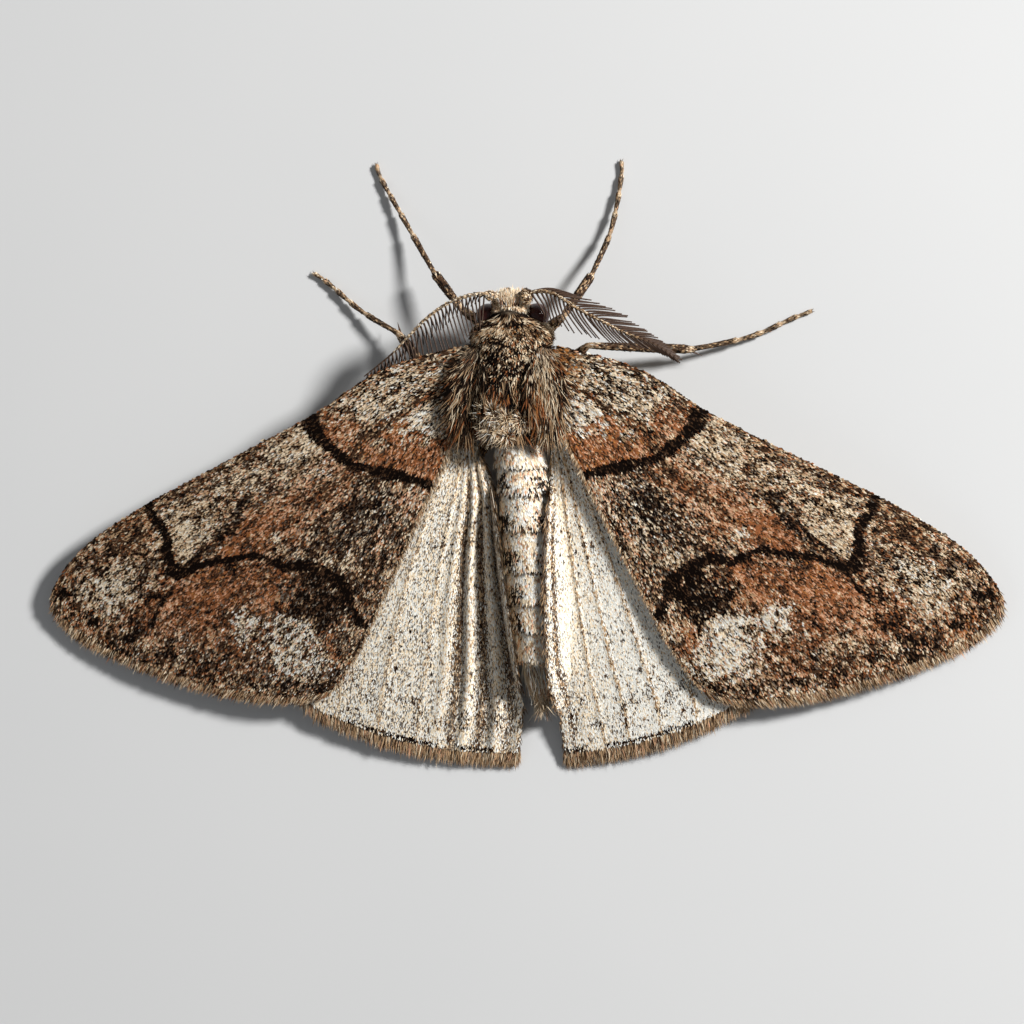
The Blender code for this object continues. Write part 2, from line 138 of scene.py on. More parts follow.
ANTENNAE = {
    "antenna_left": (
        (-0.42, 6.95, 3.55), (-1.00, 7.05, 3.74), (-1.54, 7.00, 3.78), (-2.45, 6.72, 3.55),
        (-3.39, 6.15, 3.30), (-4.19, 5.45, 3.00), (-4.99, 4.70, 2.65), (-5.79, 4.10, 2.35),
        (-6.35, 3.70, 2.15),
    ),
    "antenna_right": (
        (0.46, 6.95, 3.50), (0.88, 7.10, 3.66), (1.84, 7.08, 3.80), (2.91, 6.45, 3.85), (3.95, 5.90, 3.75),
        (4.84, 5.45, 3.60), (6.18, 4.90, 3.40), (7.05, 4.32, 3.20),
    ),
}

# Pigments of single scales, as linear colours. A marking is a mixture of them.
PIGMENTS = {
    "black": (0.006, 0.0035, 0.0025),
    "umber": (0.068, 0.035, 0.019),
    "grey": (0.180, 0.150, 0.120),
    "rust": (0.330, 0.118, 0.045),
    "amber": (0.430, 0.175, 0.050),
    "blush": (0.680, 0.380, 0.230),
    "tan": (0.490, 0.320, 0.180),
    "cream": (0.860, 0.710, 0.510),
    "white": (0.860, 0.850, 0.795),
}
PIGMENT_NAMES = tuple(PIGMENTS)


def mixture(**shares):
    """Shares of the pigments as one row that adds up to 1."""
    row = np.array([shares.get(name, 0.0) for name in PIGMENT_NAMES], float)
    return row / row.sum()


def alike(mix, places):
    """One mixture for all places, as a row for each."""
    return np.tile(mix, (len(places), 1))


# ---------------------------------------------------------------- curves and surfaces


def smooth_line(points, count):
    """`count` points evenly spaced along the Catmull-Rom curve through `points`."""
    p = np.array(points, float)
    p = np.vstack([2 * p[0] - p[1], p, 2 * p[-1] - p[-2]])
    t = np.linspace(0, 1, 24, endpoint=False)[:, None]
    stretches = [
        0.5 * (2 * b + (c - a) * t + (2 * a - 5 * b + 4 * c - d) * t**2 + (3 * b - a - 3 * c + d) * t**3)
        for a, b, c, d in zip(p, p[1:], p[2:], p[3:])
    ]
    return even_line(np.vstack([*stretches, p[-2][None]]), count)


def even_line(points, count):
    """`count` points evenly spaced along the straight runs through `points`."""
    far = np.concatenate([[0], np.cumsum(np.linalg.norm(np.diff(points[:, :3], axis=0), axis=1))])
    wanted = np.linspace(0, far[-1], count)
    return np.stack([np.interp(wanted, far, column) for column in points.T], axis=1)


def along(line, t):
    """Points of an evenly spaced line at the shares `t` of its length."""
    steps = np.linspace(0, 1, len(line))
    return np.stack([np.interp(t, steps, column) for column in line.T], axis=-1)


def unit(vectors):
    """Vectors of length 1: each divided by its own length."""
    return vectors / np.maximum(np.linalg.norm(vectors, axis=-1, keepdims=True), 1e-12)


def smooth_max(a, b, softness):
    """The larger of two heights, rounded where they meet: (a + b + √((a - b)² + softness²)) / 2."""
    return 0.5 * (a + b + np.sqrt((a - b) ** 2 + softness**2))


def bell(x, middle, width):
    """exp(-((x - middle) / width)²): 1 at the middle, falling to 0 on both sides."""
    return np.exp(-(((x - middle) / width) ** 2))


def roof(x, y):
    """Underside of the forewings in the solids: a dome of height peak - fall·(out / edge)^roundness, where
    `out` is the distance from the dome's middle in spans and lengths."""
    out = np.sqrt((x / ROOF_SPAN) ** 2 + ((y - ROOF_FRONT) / ROOF_LENGTH) ** 2)
    return ROOF_PEAK - ROOF_FALL * (out / ROOF_EDGE) ** ROOF_ROUNDNESS


def trunk_at(y, depth=0.0):
    """(middle along X, middle along Z, half width, half height) of the trunk at `y`, `depth` under its
    coat."""
    rows = np.array(BODY_STATIONS)[::-1]
    middle, low, high, half_width = (np.interp(y, rows[:, 0], rows[:, i]) for i in (1, 2, 3, 4))
    return middle, (low + high) / 2, half_width - depth, (high - low) / 2 - depth


def trunk_top(x, y, clearance):
    """Height of the trunk's upper side grown by `clearance`; beside the trunk it drops away steeply."""
    middle, centre, half_width, half_height = trunk_at(y, -clearance)
    across = np.abs(x - middle) / half_width
    over = half_height * np.sqrt(1 - np.clip(across, 0, 1) ** 2)
    return centre + over - BESIDE_DROP * np.clip(across - 1, 0, None)


def wing_plan(u, v, margin, corners):
    """A Coons patch in a wing's margin: u runs outwards, v from the front edge to the rear one."""
    apex, tornus = (int(np.argmin(np.linalg.norm(margin - corner, axis=1))) for corner in corners)
    front, outer, rear = margin[: apex + 1], margin[apex : tornus + 1], margin[tornus:][::-1]
    wide_u, wide_v = u[:, None], v[:, None]
    root = front[0] + wide_v * (rear[0] - front[0])
    lengthwise = (1 - wide_v) * along(front, u) + wide_v * along(rear, u)
    crosswise = (1 - wide_u) * root + wide_u * along(outer, v)
    corner_blend = (1 - wide_u) * root + wide_u * ((1 - wide_v) * outer[0] + wide_v * outer[-1])
    return lengthwise + crosswise - corner_blend


FOREWING_VEINS = ((0.035, 1.0), (0.12, 0.8), (0.21, 0.7), (0.30, 0.6), (0.40, 0.7), (0.50, 0.6), (0.60, 0.8),
                  (0.70, 0.7), (0.80, 0.8), (0.92, 1.0))
HINDWING_VEINS = ((0.10, 0.6), (0.22, 0.7), (0.34, 0.8), (0.46, 0.8), (0.58, 0.8), (0.69, 0.9))
MARGIN_POINTS = 240
WAVE_HEIGHT = 0.03
VEIN_HEIGHT, VEIN_WIDTH = {"forewing": 0.035, "hindwing": 0.04}, {"forewing": 0.018, "hindwing": 0.012}
PLEAT_WIDTH = 0.021
# Pleats of each hindwing by side: (share of the wing's breadth from the fold, height). Brown grooves lie
# at the shares below them.
HINDWING_PLEATS = {
    -1: ((0.004, 0.20), (0.092, 0.34), (0.205, 0.26), (0.30, 0.08)),
    1: ((0.020, 0.03), (0.100, 0.02)),
}
HINDWING_GROOVES = {-1: (0.046, 0.148, 0.252), 1: (0.0, 0.040)}
GROOVE_WIDTH = {-1: 0.026, 1: 0.012}


def from_fold(v):
    """Share of the hindwing's breadth between a line of equal v and the fold."""
    return (1 - v) ** FOLD_CROWDING


def vein_relief(u, v, veins, height, width):
    """Low ridges that run outwards along lines of equal v and fade at the wing's rim."""
    return height * sum(strength * bell(v, place, width) for place, strength in veins) * (1 - u**6)


def forewing_surface(side):
    """The forewing's middle sheet: the plan patch laid on the roof, with veins as low ridges and a slow
    wave of sin(9u + 14v)."""
    margin = smooth_line(FOREWING_MARGIN, MARGIN_POINTS)
    height, width = VEIN_HEIGHT["forewing"], VEIN_WIDTH["forewing"]

    def place(u, v):
        x, y = wing_plan(u, v, margin, FOREWING_CORNERS).T
        wave = WAVE_HEIGHT * np.sin(9 * u + 14 * v) * u
        relief = vein_relief(u, v, FOREWING_VEINS, height, width) + wave
        return np.stack([side * x, y, roof(x, y) + 0.22 * SHEET + relief], axis=-1)

    return place


def hindwing_surface(side):
    """The hindwing's middle sheet: its plan patch swung about the hinge, laid under the roof and over the
    abdomen, with veins and, along the fold, pleats."""
    first, last, count = HINDWING_ARC
    hinge = np.array(HINDWING_HINGE)
    angles = np.linspace(first, last, count)
    arc = hinge + HINDWING_RADIUS * np.column_stack([np.cos(angles), np.sin(angles)])
    edges = [*HINDWING_FRONT_EDGE, *arc, *HINDWING_FOLD[side], HINDWING_ROOT_BACK]
    margin = smooth_line(edges, MARGIN_POINTS)
    swing = side * HINDWING_SWING
    turn = np.array([[math.cos(swing), -math.sin(swing)], [math.sin(swing), math.cos(swing)]])

    def place(u, v):
        flat = wing_plan(u, 1 - (1 - v) ** FOLD_CROWDING, margin, (HINDWING_FRONT_EDGE[-1], arc[-1]))
        swung = hinge + (flat - hinge) @ turn.T
        settled = np.clip(np.linalg.norm(flat - hinge, axis=1) / SWING_REACH, 0, 1)[:, None]
        flat = flat + (swung - flat) * settled
        x, y = side * flat[:, 0], flat[:, 1]
        below = roof(x, y) - SHEET - 1.5 * PART_GAP
        fade = DRAPE_FADE * np.maximum(y - DRAPE_FRONT, 0)
        over = np.where(x * x < DRAPE_REACH**2, trunk_top(x, y, 2 * PART_GAP) - fade, 0)
        height = np.maximum(smooth_max(below, over, 0.1), 0)
        height = height + SHEET * np.interp(from_fold(v), (0.0, 0.25, 0.5), (0.16, 0.46, 0.76))
        fan = np.clip(u * 2.5, 0, 1)
        pleats = sum(tall * bell(from_fold(v), at, PLEAT_WIDTH) for at, tall in HINDWING_PLEATS[side])
        veins = vein_relief(u, v, HINDWING_VEINS, VEIN_HEIGHT["hindwing"], VEIN_WIDTH["hindwing"])
        return np.stack([x, y, height + (veins + pleats * fan * (1 - u**8))], axis=-1)

    return place


TRUNK_FRONT, TRUNK_BACK = 7.26, -9.75
NOSE_LENGTH, TAIL_LENGTH, SEGMENT_SWELL = 0.7, 0.9, 0.13
TABLE_Y = np.linspace(TAIL_TIP, BODY_STATIONS[0][0], 720)
TABLE_BLUR = 15


def softened(values, reach):
    """A running mean over the table of places along the body."""
    kernel = np.ones(reach) / reach
    padded = np.concatenate([np.full(reach, values[0]), values, np.full(reach, values[-1])])
    return np.convolve(padded, kernel, "same")[reach:-reach]


TRUNK_TABLE = [softened(column, TABLE_BLUR) for column in trunk_at(TABLE_Y)]
DEPTH_TABLE = softened(np.interp(TABLE_Y, *zip(*sorted(COAT_DEPTH))), TABLE_BLUR)


def trunk_surface(u, v):
    """Skin of the trunk: rings of u from face to tail, v round from the belly over the right side, each
    ring an ellipse. Its radius swells along every abdomen segment and rounds off at both ends."""
    y = TRUNK_FRONT + u * (TRUNK_BACK - TRUNK_FRONT)
    middle, centre, half_width, half_height = (np.interp(y, TABLE_Y, column) for column in TRUNK_TABLE)
    depth = np.interp(y, TABLE_Y, DEPTH_TABLE)
    breaks = np.array(ABDOMEN_BREAKS[::-1])
    inside = np.interp(y, breaks, np.arange(len(breaks)))
    rise = np.where(y < ABDOMEN_BREAKS[0], SEGMENT_SWELL * (1 - inside % 1.0) * (inside > 0), 0)
    nose_start, tail_start = TRUNK_FRONT - NOSE_LENGTH, TRUNK_BACK + TAIL_LENGTH
    nose = np.sqrt(np.clip(1 - ((y - nose_start) / NOSE_LENGTH) ** 2, 0, 1))
    tail = np.sqrt(np.clip(1 - ((tail_start - y) / TAIL_LENGTH) ** 2, 0, 1))
    ends = np.where(y > nose_start, nose, np.where(y < tail_start, tail, 1.0))
    turn = TAU * v
    x = middle + (half_width - depth + rise) * ends * np.sin(turn)
    z = centre - (half_height - depth + rise) * ends * np.cos(turn)
    return np.stack([x, y, z], axis=-1)


def tube_surface(path, radii, up=(0.0, 0.0, 1.0)):
    """A round tube: u along an evenly spaced path, v round it, with the radius read at u. A point is
    path + radius·(cos(2πv)·beside + sin(2πv)·above)."""
    ahead = unit(np.gradient(path, axis=0))
    beside = unit(np.cross(ahead, np.array(up)))
    above = np.cross(beside, ahead)

    def place(u, v):
        radius = along(radii[:, None], u)
        turn = (TAU * v)[:, None]
        return along(path, u) + radius * (np.cos(turn) * along(beside, u) + np.sin(turn) * along(above, u))

    return place


# ---------------------------------------------------------------- meshes


def grid_of(place, rows, columns, u_span=(0, 1), v_span=(0, 1), wrap=False):
    """(points, u, v) of a surface on a rows × columns grid, u by rows."""
    u = np.linspace(*u_span, rows)
    v = np.linspace(*v_span, columns, endpoint=not wrap)
    u, v = (array.ravel() for array in np.meshgrid(u, v, indexing="ij"))
    return place(u, v), u, v


def grid_faces(rows, columns, wrap):
    """Triangles of a grid, closed round its columns if `wrap`."""
    index = np.arange(rows * columns).reshape(rows, columns)
    following = np.roll(index, -1, axis=1) if wrap else index[:, 1:]
    index = index if wrap else index[:, :-1]
    a, b, c, d = index[:-1], index[1:], following[1:], following[:-1]
    return np.concatenate([np.stack([a, b, c], -1).reshape(-1, 3), np.stack([a, c, d], -1).reshape(-1, 3)])


def closed_tube(place, rows, columns):
    """(points, faces, u, v) of a surface that wraps round v, closed by a pole at each end."""
    points, u, v = grid_of(place, rows, columns, wrap=True)
    faces = grid_faces(rows, columns, True)
    ring = np.arange(columns)
    after = np.roll(ring, -1)
    front, back, last = len(points), len(points) + 1, (rows - 1) * columns
    fans = [
        np.stack([np.full(columns, front), ring, after], -1),
        np.stack([np.full(columns, back), last + after, last + ring], -1),
    ]
    poles = np.stack([points[:columns].mean(0), points[-columns:].mean(0)])
    points, faces = np.vstack([points, poles]), np.vstack([faces, *fans])
    return points, faces, np.append(u, [0, 1]), np.append(v, [0.5, 0.5])


THIN_RIM, RIM_TAPER = 0.2, 60


def closed_sheet(place, rows, columns, thickness, u_span, v_span):
    """(points, faces, u, v) of a sheet with an upper and a lower side joined round its rim, where it
    thins to a fifth of its thickness."""
    points, u, v = grid_of(place, rows, columns, u_span, v_span)
    along_u, along_v = (
        np.clip((share - first) * (last - share) * RIM_TAPER, THIN_RIM, 1)
        for share, (first, last) in ((u, u_span), (v, v_span))
    )
    half = 0.5 * thickness * np.minimum(along_u, along_v)
    shift = np.zeros_like(points)
    shift[:, 2] = half
    top = grid_faces(rows, columns, False)
    count = len(points)
    index = np.arange(count).reshape(rows, columns)
    rim = np.concatenate([index[:-1, 0], index[-1, :-1], index[:0:-1, -1], index[0, :0:-1]])
    after = np.roll(rim, -1)
    wall = [np.stack([after, rim, rim + count], -1), np.stack([after, rim + count, after + count], -1)]
    wall = np.vstack(wall)
    if facing(points, top)[2] < 0:
        top, wall = top[:, ::-1], wall[:, ::-1]
    solid = np.vstack([points + shift, points - shift])
    return solid, np.vstack([top, top[:, ::-1] + count, wall]), np.tile(u, 2), np.tile(v, 2)


def facing(points, faces):
    """Sum of the faces' normals, by area."""
    a, b, c = (points[faces[:, i]] for i in range(3))
    return np.cross(b - a, c - a).sum(axis=0)


def ball_surface(centre, radius):
    """A ball whose poles lie along X: u from the right one to the left one, v round it."""

    def place(u, v):
        slope = np.clip(u, 0.02, 0.98) * math.pi
        swell, reach = radius * np.sin(slope), radius * np.cos(slope)
        return np.array(centre) + np.stack([reach, swell * np.cos(TAU * v), swell * np.sin(TAU * v)], -1)

    return place


def outwards(points, faces):
    """The faces, turned round if the volume they bound, a sum of a·(b × c), is below 0: inside out."""
    a, b, c = (points[faces[:, i]] for i in range(3))
    volume = np.einsum("ij,ij->i", a, np.cross(b, c)).sum()
    return faces if volume > 0 else faces[:, ::-1]


def joined(*solids):
    """Several (points, faces) as one."""
    starts = np.cumsum([0] + [len(points) for points, _ in solids[:-1]])
    return np.vstack([s[0] for s in solids]), np.vstack([s[1] + start for s, start in zip(solids, starts)])


def add_piece(name, points, faces, finish, slot, nodes=(), smooth=True, bake=None, colour=None, **marks):
    """One piece from whole arrays: points in millimetres, triangles, and one value per point for each
    mark. `colour` gives each point its own colour, and `bake` its place on the bake map."""
    mesh = bpy.data.meshes.new(name)
    mesh.vertices.add(len(points))
    mesh.vertices.foreach_set("co", (points * MM).astype(np.float32).ravel())
    corners = faces.astype(np.int32).ravel()
    mesh.loops.add(corners.size)
    mesh.loops.foreach_set("vertex_index", corners)
    mesh.polygons.add(len(faces))
    mesh.polygons.foreach_set("loop_start", np.arange(0, corners.size, 3, dtype=np.int32))
    mesh.update(calc_edges=True)
    if smooth:
        mesh.shade_smooth()
    else:
        mesh.shade_flat()
    for mark, values in marks.items():
        mesh.attributes.new(mark, "FLOAT", "POINT").data.foreach_set("value", values.astype(np.float32))
    if colour is not None:
        layer = mesh.attributes.new("marking", "FLOAT_COLOR", "POINT")
        opaque = np.column_stack([colour, np.ones(len(colour))])
        layer.data.foreach_set("color", opaque.astype(np.float32).ravel())
    if bake is not None:
        mesh.uv_layers.new(name="OFBake").data.foreach_set("uv", bake[corners].astype(np.float32).ravel())
    mesh.materials.append(finish)
    piece = bpy.data.objects.new(name, mesh)
    bpy.context.scene.collection.objects.link(piece)
    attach(piece, "root")
    if nodes:
        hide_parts(*nodes)
    return piece


# ---------------------------------------------------------------- scales and hair


# 1/g and 1/g² of g³ = g + 1: steps that fill a square evenly.
GOLDEN_PAIR = (0.7548776662, 0.5698402910)


def spread(place, count, u_span=(0, 1), v_span=(0, 1), jitter=0.35):
    """`count` places spread evenly over a surface: a two-number golden sequence, bent so that equal areas
    get equal shares, and jittered by a part of the mean distance."""
    steps = 150
    points, _, _ = grid_of(place, steps + 1, steps + 1, u_span, v_span)
    points = points.reshape(steps + 1, steps + 1, 3)
    down, right = np.diff(points, axis=0)[:, :-1], np.diff(points, axis=1)[:-1]
    area = np.linalg.norm(np.cross(down, right), axis=-1)
    by_v = np.concatenate([[0], np.cumsum(area.sum(axis=0))])
    by_u = np.vstack([np.zeros(steps), np.cumsum(area, axis=0)]).T
    by_u = by_u / by_u[:, -1:]
    index = np.arange(count) + 0.5
    first, second = ((index * step) % 1 for step in GOLDEN_PAIR)
    v_share = np.interp(first, by_v / by_v[-1], np.linspace(0, 1, steps + 1))
    column = by_u[np.clip((v_share * steps).astype(int), 0, steps - 1)]
    cell = np.clip((column < second[:, None]).sum(axis=1) - 1, 0, steps - 1)
    rows = np.arange(count)
    below, above = column[rows, cell], column[rows, cell + 1]
    u_share = (cell + (second - below) / np.maximum(above - below, 1e-9)) / steps
    share = np.stack([u_share, v_share], -1) + RNG.normal(size=(count, 2)) * jitter / math.sqrt(count)
    share = np.clip(share, 0, 1)
    (u_first, u_last), (v_first, v_last) = u_span, v_span
    return u_first + share[:, 0] * (u_last - u_first), v_first + share[:, 1] * (v_last - v_first)


def stand(place, u, v, towards=None):
    """(points, directions along u, outward normals) of a surface at u and v. `towards` is a vector or one
    point per place that the normals lean to."""
    step = 2e-3
    points = place(u, v)
    down = place(np.minimum(u + step, 1), v) - place(np.maximum(u - step, 0), v)
    round_it = place(u, v + step) - place(u, v - step)
    normals = unit(np.cross(down, round_it))
    flip = np.sign(np.einsum("ij,ij->i", normals, np.broadcast_to(towards, normals.shape)))
    return points, unit(down), normals * np.where(flip == 0, 1, flip)[:, None]


def turned(directions, normals, angles):
    """Directions turned about their normals."""
    side = np.cross(normals, directions)
    return directions * np.cos(angles)[:, None] + side * np.sin(angles)[:, None]


KITE_WIDEST, KITE_KEEL = 0.55, 0.09
KITE_FACES = np.array([(0, 1, 3), (0, 3, 2), (0, 2, 1), (3, 1, 2)])
KITE_MAP = np.array([(0, 0.5), (KITE_WIDEST, 0), (KITE_WIDEST, 1), (1, 0.5)])


def kites(points, ahead, normals, length, width, lift, sink=0.003):
    """Flat scales, each a thin four-cornered solid keeled from root to tip: widest just past the middle,
    with the tip `lift` over the skin."""
    length, width, lift = (np.broadcast_to(a, len(points))[:, None] for a in (length, width, lift))
    side = np.cross(normals, ahead)
    root = points - normals * sink
    flank = points + ahead * length * KITE_WIDEST + normals * (lift * KITE_WIDEST - width * KITE_KEEL)
    left, right = flank - side * width / 2, flank + side * width / 2
    tip = points + ahead * length + normals * lift
    return repeated(np.stack([root, left, right, tip], axis=1), KITE_FACES)


LOCK_STEPS = (0.0, 0.45)
LOCK_WIDTHS = (0.6, 1.0)
LOCK_KEEL, LOCK_SINK = 0.45, 0.02
LOCK_FACES = np.array(
    [(0, 2, 1), (3, 4, 6), (4, 5, 6), (5, 3, 6)]
    + [face for i, j in ((0, 1), (1, 2), (2, 0)) for face in ((i, j, 3 + j), (i, 3 + j, 3 + i))]
)
LOCK_MAP = np.array([(s, w) for s in LOCK_STEPS for w in (0.0, 1.0, 0.5)] + [(1.0, 0.5)])


def locks(points, ahead, normals, length, width, rise, bend):
    """Long hair-scales of three-sided section: they leave the skin at the slope `rise`, bend back down by
    `bend` times the square of the way along, are widest near the middle and end in a point."""
    sizes = (length, width, rise, bend)
    length, width, rise, bend = (np.broadcast_to(size, len(points))[:, None] for size in sizes)
    side = np.cross(normals, ahead)
    rings = []
    for s, w in zip(LOCK_STEPS, LOCK_WIDTHS):
        middle = points + ahead * length * s + normals * (length * (rise * s - bend * s * s) - LOCK_SINK)
        half = side * width * w / 2
        rings += [middle - half, middle + half, middle + normals * width * w * LOCK_KEEL]
    tip = points + ahead * length + normals * length * (rise - bend)
    return repeated(np.stack([*rings, tip], axis=1), LOCK_FACES)


def repeated(points, faces):
    """(points, faces) of many copies of a small shape, points given as copies × corners × 3."""
    copies, corners = points.shape[:2]
    starts = np.arange(copies)[:, None, None] * corners
    return points.reshape(-1, 3), (outwards(points[0], faces)[None] + starts).reshape(-1, 3)


PATCH_SIZE, PATCH_ROOM = 0.003, 0.996


def patches(u, v, shape):
    """The bake map of a coat: a small patch for each tuft, at its root's place on the skin's own (u, v)."""
    corner = np.stack([u, v], -1)[:, None, :] * PATCH_ROOM
    return (corner + shape[None] * PATCH_SIZE).reshape(-1, 2)


def chosen(weights, cloud=None, together=0.55):
    """One pigment for each row of shares, as a number between 0 and 1. Chance draws it; where a cloud is
    given, chance follows it, so that dark scales stand together in streaks and pale ones between them.
    A lean from a normal spread becomes the share (1 + tanh(0.8·lean)) / 2."""
    lean = RNG.normal(size=len(weights))
    if cloud is not None:
        lean = together * cloud / np.std(cloud) + math.sqrt(1 - together**2) * lean
    total = np.cumsum(weights, axis=1)
    pick = (0.5 + 0.5 * np.tanh(0.8 * lean))[:, None] * total[:, -1:]
    index = np.minimum((total < pick).sum(axis=1), len(PIGMENT_NAMES) - 1)
    return (index + 0.5) / len(PIGMENT_NAMES)


def coat(name, finish, slot, kind, place, u, v, towards, weights, sizes, swing=0.15, offset=0.0, turn=0.0,
         cloud=None):
    """A coat of kites or locks rooted at (u, v) of a surface, `offset` over it, each of one pigment. They
    run along u, turned by `turn`, give or take `swing`."""
    points, ahead, normals = stand(place, u, v, towards)
    points = points + normals * offset
    ahead = turned(ahead, normals, turn + RNG.normal(size=len(u)) * swing)
    return grown(name, finish, slot, kind, points, ahead, normals, u, v, weights, sizes, cloud)


SHADE_SPREAD = 0.12


def grown(name, finish, slot, kind, points, ahead, normals, u, v, weights, sizes, cloud=None):
    """Tufts from given roots and directions as one piece, with their pigments and bake patches."""
    shape = LOCK_MAP if kind is locks else KITE_MAP
    solid, faces = kind(points, ahead, normals, *sizes)
    corners = len(shape)
    marks = {
        "pigment": np.repeat(chosen(weights, cloud), corners),
        "shade": np.repeat(RNG.normal(1.0, SHADE_SPREAD, len(u)).clip(0.6, 1.4), corners),
        "tipness": np.tile(shape[:, 0], len(u)),
    }
    return add_piece(name, solid, faces, finish, slot, smooth=False, bake=patches(u, v, shape), **marks)


def varied(count, middle, spread_by):
    """Sizes about a middle, by a share either way."""
    return middle * RNG.normal(1.0, spread_by, count).clip(0.5, 1.6)


LATTICE = 128


def mottle(x, y, size, seed):
    """Smooth random cloud between about -1 and 1: a lattice of random numbers `size` apart, blended by
    f²(3 - 2f) of the share f of the way to the next one."""
    table = np.random.default_rng(seed).uniform(-1, 1, (LATTICE, LATTICE))
    gx, gy = x / size + 40.3, y / size + 40.7
    ix, iy = np.floor(gx).astype(int), np.floor(gy).astype(int)
    fx, fy = gx - ix, gy - iy
    fx, fy = fx * fx * (3 - 2 * fx), fy * fy * (3 - 2 * fy)
    a, b = table[ix % LATTICE, iy % LATTICE], table[(ix + 1) % LATTICE, iy % LATTICE]
    c, d = table[ix % LATTICE, (iy + 1) % LATTICE], table[(ix + 1) % LATTICE, (iy + 1) % LATTICE]
    return 1.4 * ((a * (1 - fx) + b * fx) * (1 - fy) + (c * (1 - fx) + d * fx) * fy)


# ---------------------------------------------------------------- markings

# The two black lines that cross the forewing, from the front edge to the inner one: (x, y, half width).
INNER_LINE = (
    (8.45, 2.40, 0.30), (8.20, 1.90, 0.28), (7.85, 1.35, 0.25), (7.35, 0.85, 0.22), (6.80, 0.45, 0.18),
    (6.35, 0.16, 0.13), (5.75, 0.03, 0.15), (5.05, -0.13, 0.17), (4.40, -0.28, 0.17), (3.60, -0.50, 0.14),
    (2.95, -0.70, 0.15),
)
OUTER_LINE = (
    (15.48, -1.25, 0.20), (15.32, -1.80, 0.16), (14.90, -2.35, 0.18), (14.62, -2.90, 0.17),
    (14.62, -3.50, 0.20), (14.48, -4.00, 0.22), (14.22, -4.33, 0.24), (13.60, -4.24, 0.15),
    (13.00, -3.98, 0.14), (12.20, -3.86, 0.11), (11.50, -3.74, 0.10), (10.80, -3.62, 0.13),
    (10.30, -3.70, 0.13), (9.80, -3.95, 0.11), (9.40, -4.10, 0.14), (9.00, -4.04, 0.14),
    (8.50, -3.98, 0.17), (8.00, -4.22, 0.19), (7.50, -4.50, 0.20), (7.00, -4.80, 0.20),
    (6.75, -5.25, 0.17), (6.62, -5.70, 0.08), (6.50, -6.10, 0.11), (6.10, -6.45, 0.13),
)
# Fainter streaks: two from the outer line's tooth to the outer rim, a wedge inside that tooth, and the
# crease that runs out from the wing's root.
TOOTH_STREAK = (
    (14.30, -4.40, 0.16), (15.18, -5.75, 0.10), (15.78, -6.55, 0.10), (16.38, -7.28, 0.13),
    (17.05, -7.98, 0.20),
)
SECOND_STREAK = (
    (14.96, -4.68, 0.04), (15.56, -5.36, 0.14), (16.08, -6.25, 0.10), (16.83, -7.15, 0.18),
    (17.45, -7.72, 0.26),
)
WEDGE = ((11.20, -1.75, 0.22), (12.10, -2.50, 0.16), (12.90, -3.30, 0.14), (13.50, -4.00, 0.10))
CREASE = (
    (3.00, 3.40, 0.16), (4.20, 2.45, 0.17), (5.30, 1.50, 0.17), (6.50, 0.30, 0.14), (7.50, -0.60, 0.14),
    (8.50, -1.60, 0.14), (9.40, -2.50, 0.08),
)


def line_at(x, y, line):
    """(signed distance, half width) to the smooth line through (x, y, half width) points; the distance is
    positive on the outer side of a line that runs towards the body."""
    dense = smooth_line(line, 90)
    best = np.full(len(x), 1e9)
    nearest = np.zeros(len(x), int)
    for i, (px, py, _) in enumerate(dense):
        gap = (x - px) ** 2 + (y - py) ** 2
        nearer = gap < best
        best[nearer], nearest[nearer] = gap[nearer], i
    run = np.gradient(dense[:, :2], axis=0)[nearest]
    away = np.stack([x, y], -1) - dense[nearest, :2]
    sign = np.sign(run[:, 0] * away[:, 1] - run[:, 1] * away[:, 0])
    return sign * np.sqrt(best), dense[nearest, 2]


def stroke(x, y, line, softness=0.10):
    """Strength of a line: 1 within its half width, falling off over `softness`."""
    gap, half = line_at(x, y, line)
    return np.clip(1 - (np.abs(gap) - half) / softness, 0, 1)


def spot(x, y, middle, reach, turn=0.0, sharp=1.0):
    """A soft oval, turned by `turn`: exp(-(r²)^sharp), where r is the way from the middle in reaches."""
    dx, dy = x - middle[0], y - middle[1]
    c, s = math.cos(turn), math.sin(turn)
    far = ((c * dx + s * dy) / reach[0]) ** 2 + ((c * dy - s * dx) / reach[1]) ** 2
    return np.exp(-(far**sharp))


def layered(base, *layers):
    """Shares of the pigments where each (mixture, strength) covers what lies under it:
    shares·(1 - strength) + mixture·strength, layer by layer."""
    shares = base
    for mix, strength in layers:
        strength = np.broadcast_to(np.clip(strength, 0, 1), len(base))[:, None]
        shares = shares * (1 - strength) + mix * strength
    return shares


DARK_ROWS = [PIGMENT_NAMES.index(name) for name in ("black", "umber")]
PALE_ROWS = [PIGMENT_NAMES.index(name) for name in ("cream", "white", "blush")]
PALE_PART = 0.7


def clumped(shares, cloud, depth):
    """Shares in which dark scales gather where `cloud` is high and pale ones where it is low: dark shares
    grow by e^(depth·cloud), pale ones by e^(-PALE_PART·depth·cloud)."""
    shares = shares.copy()
    shares[:, DARK_ROWS] *= np.exp(depth * cloud)[:, None]
    shares[:, PALE_ROWS] *= np.exp(-PALE_PART * depth * cloud)[:, None]
    return shares / shares.sum(axis=1, keepdims=True)


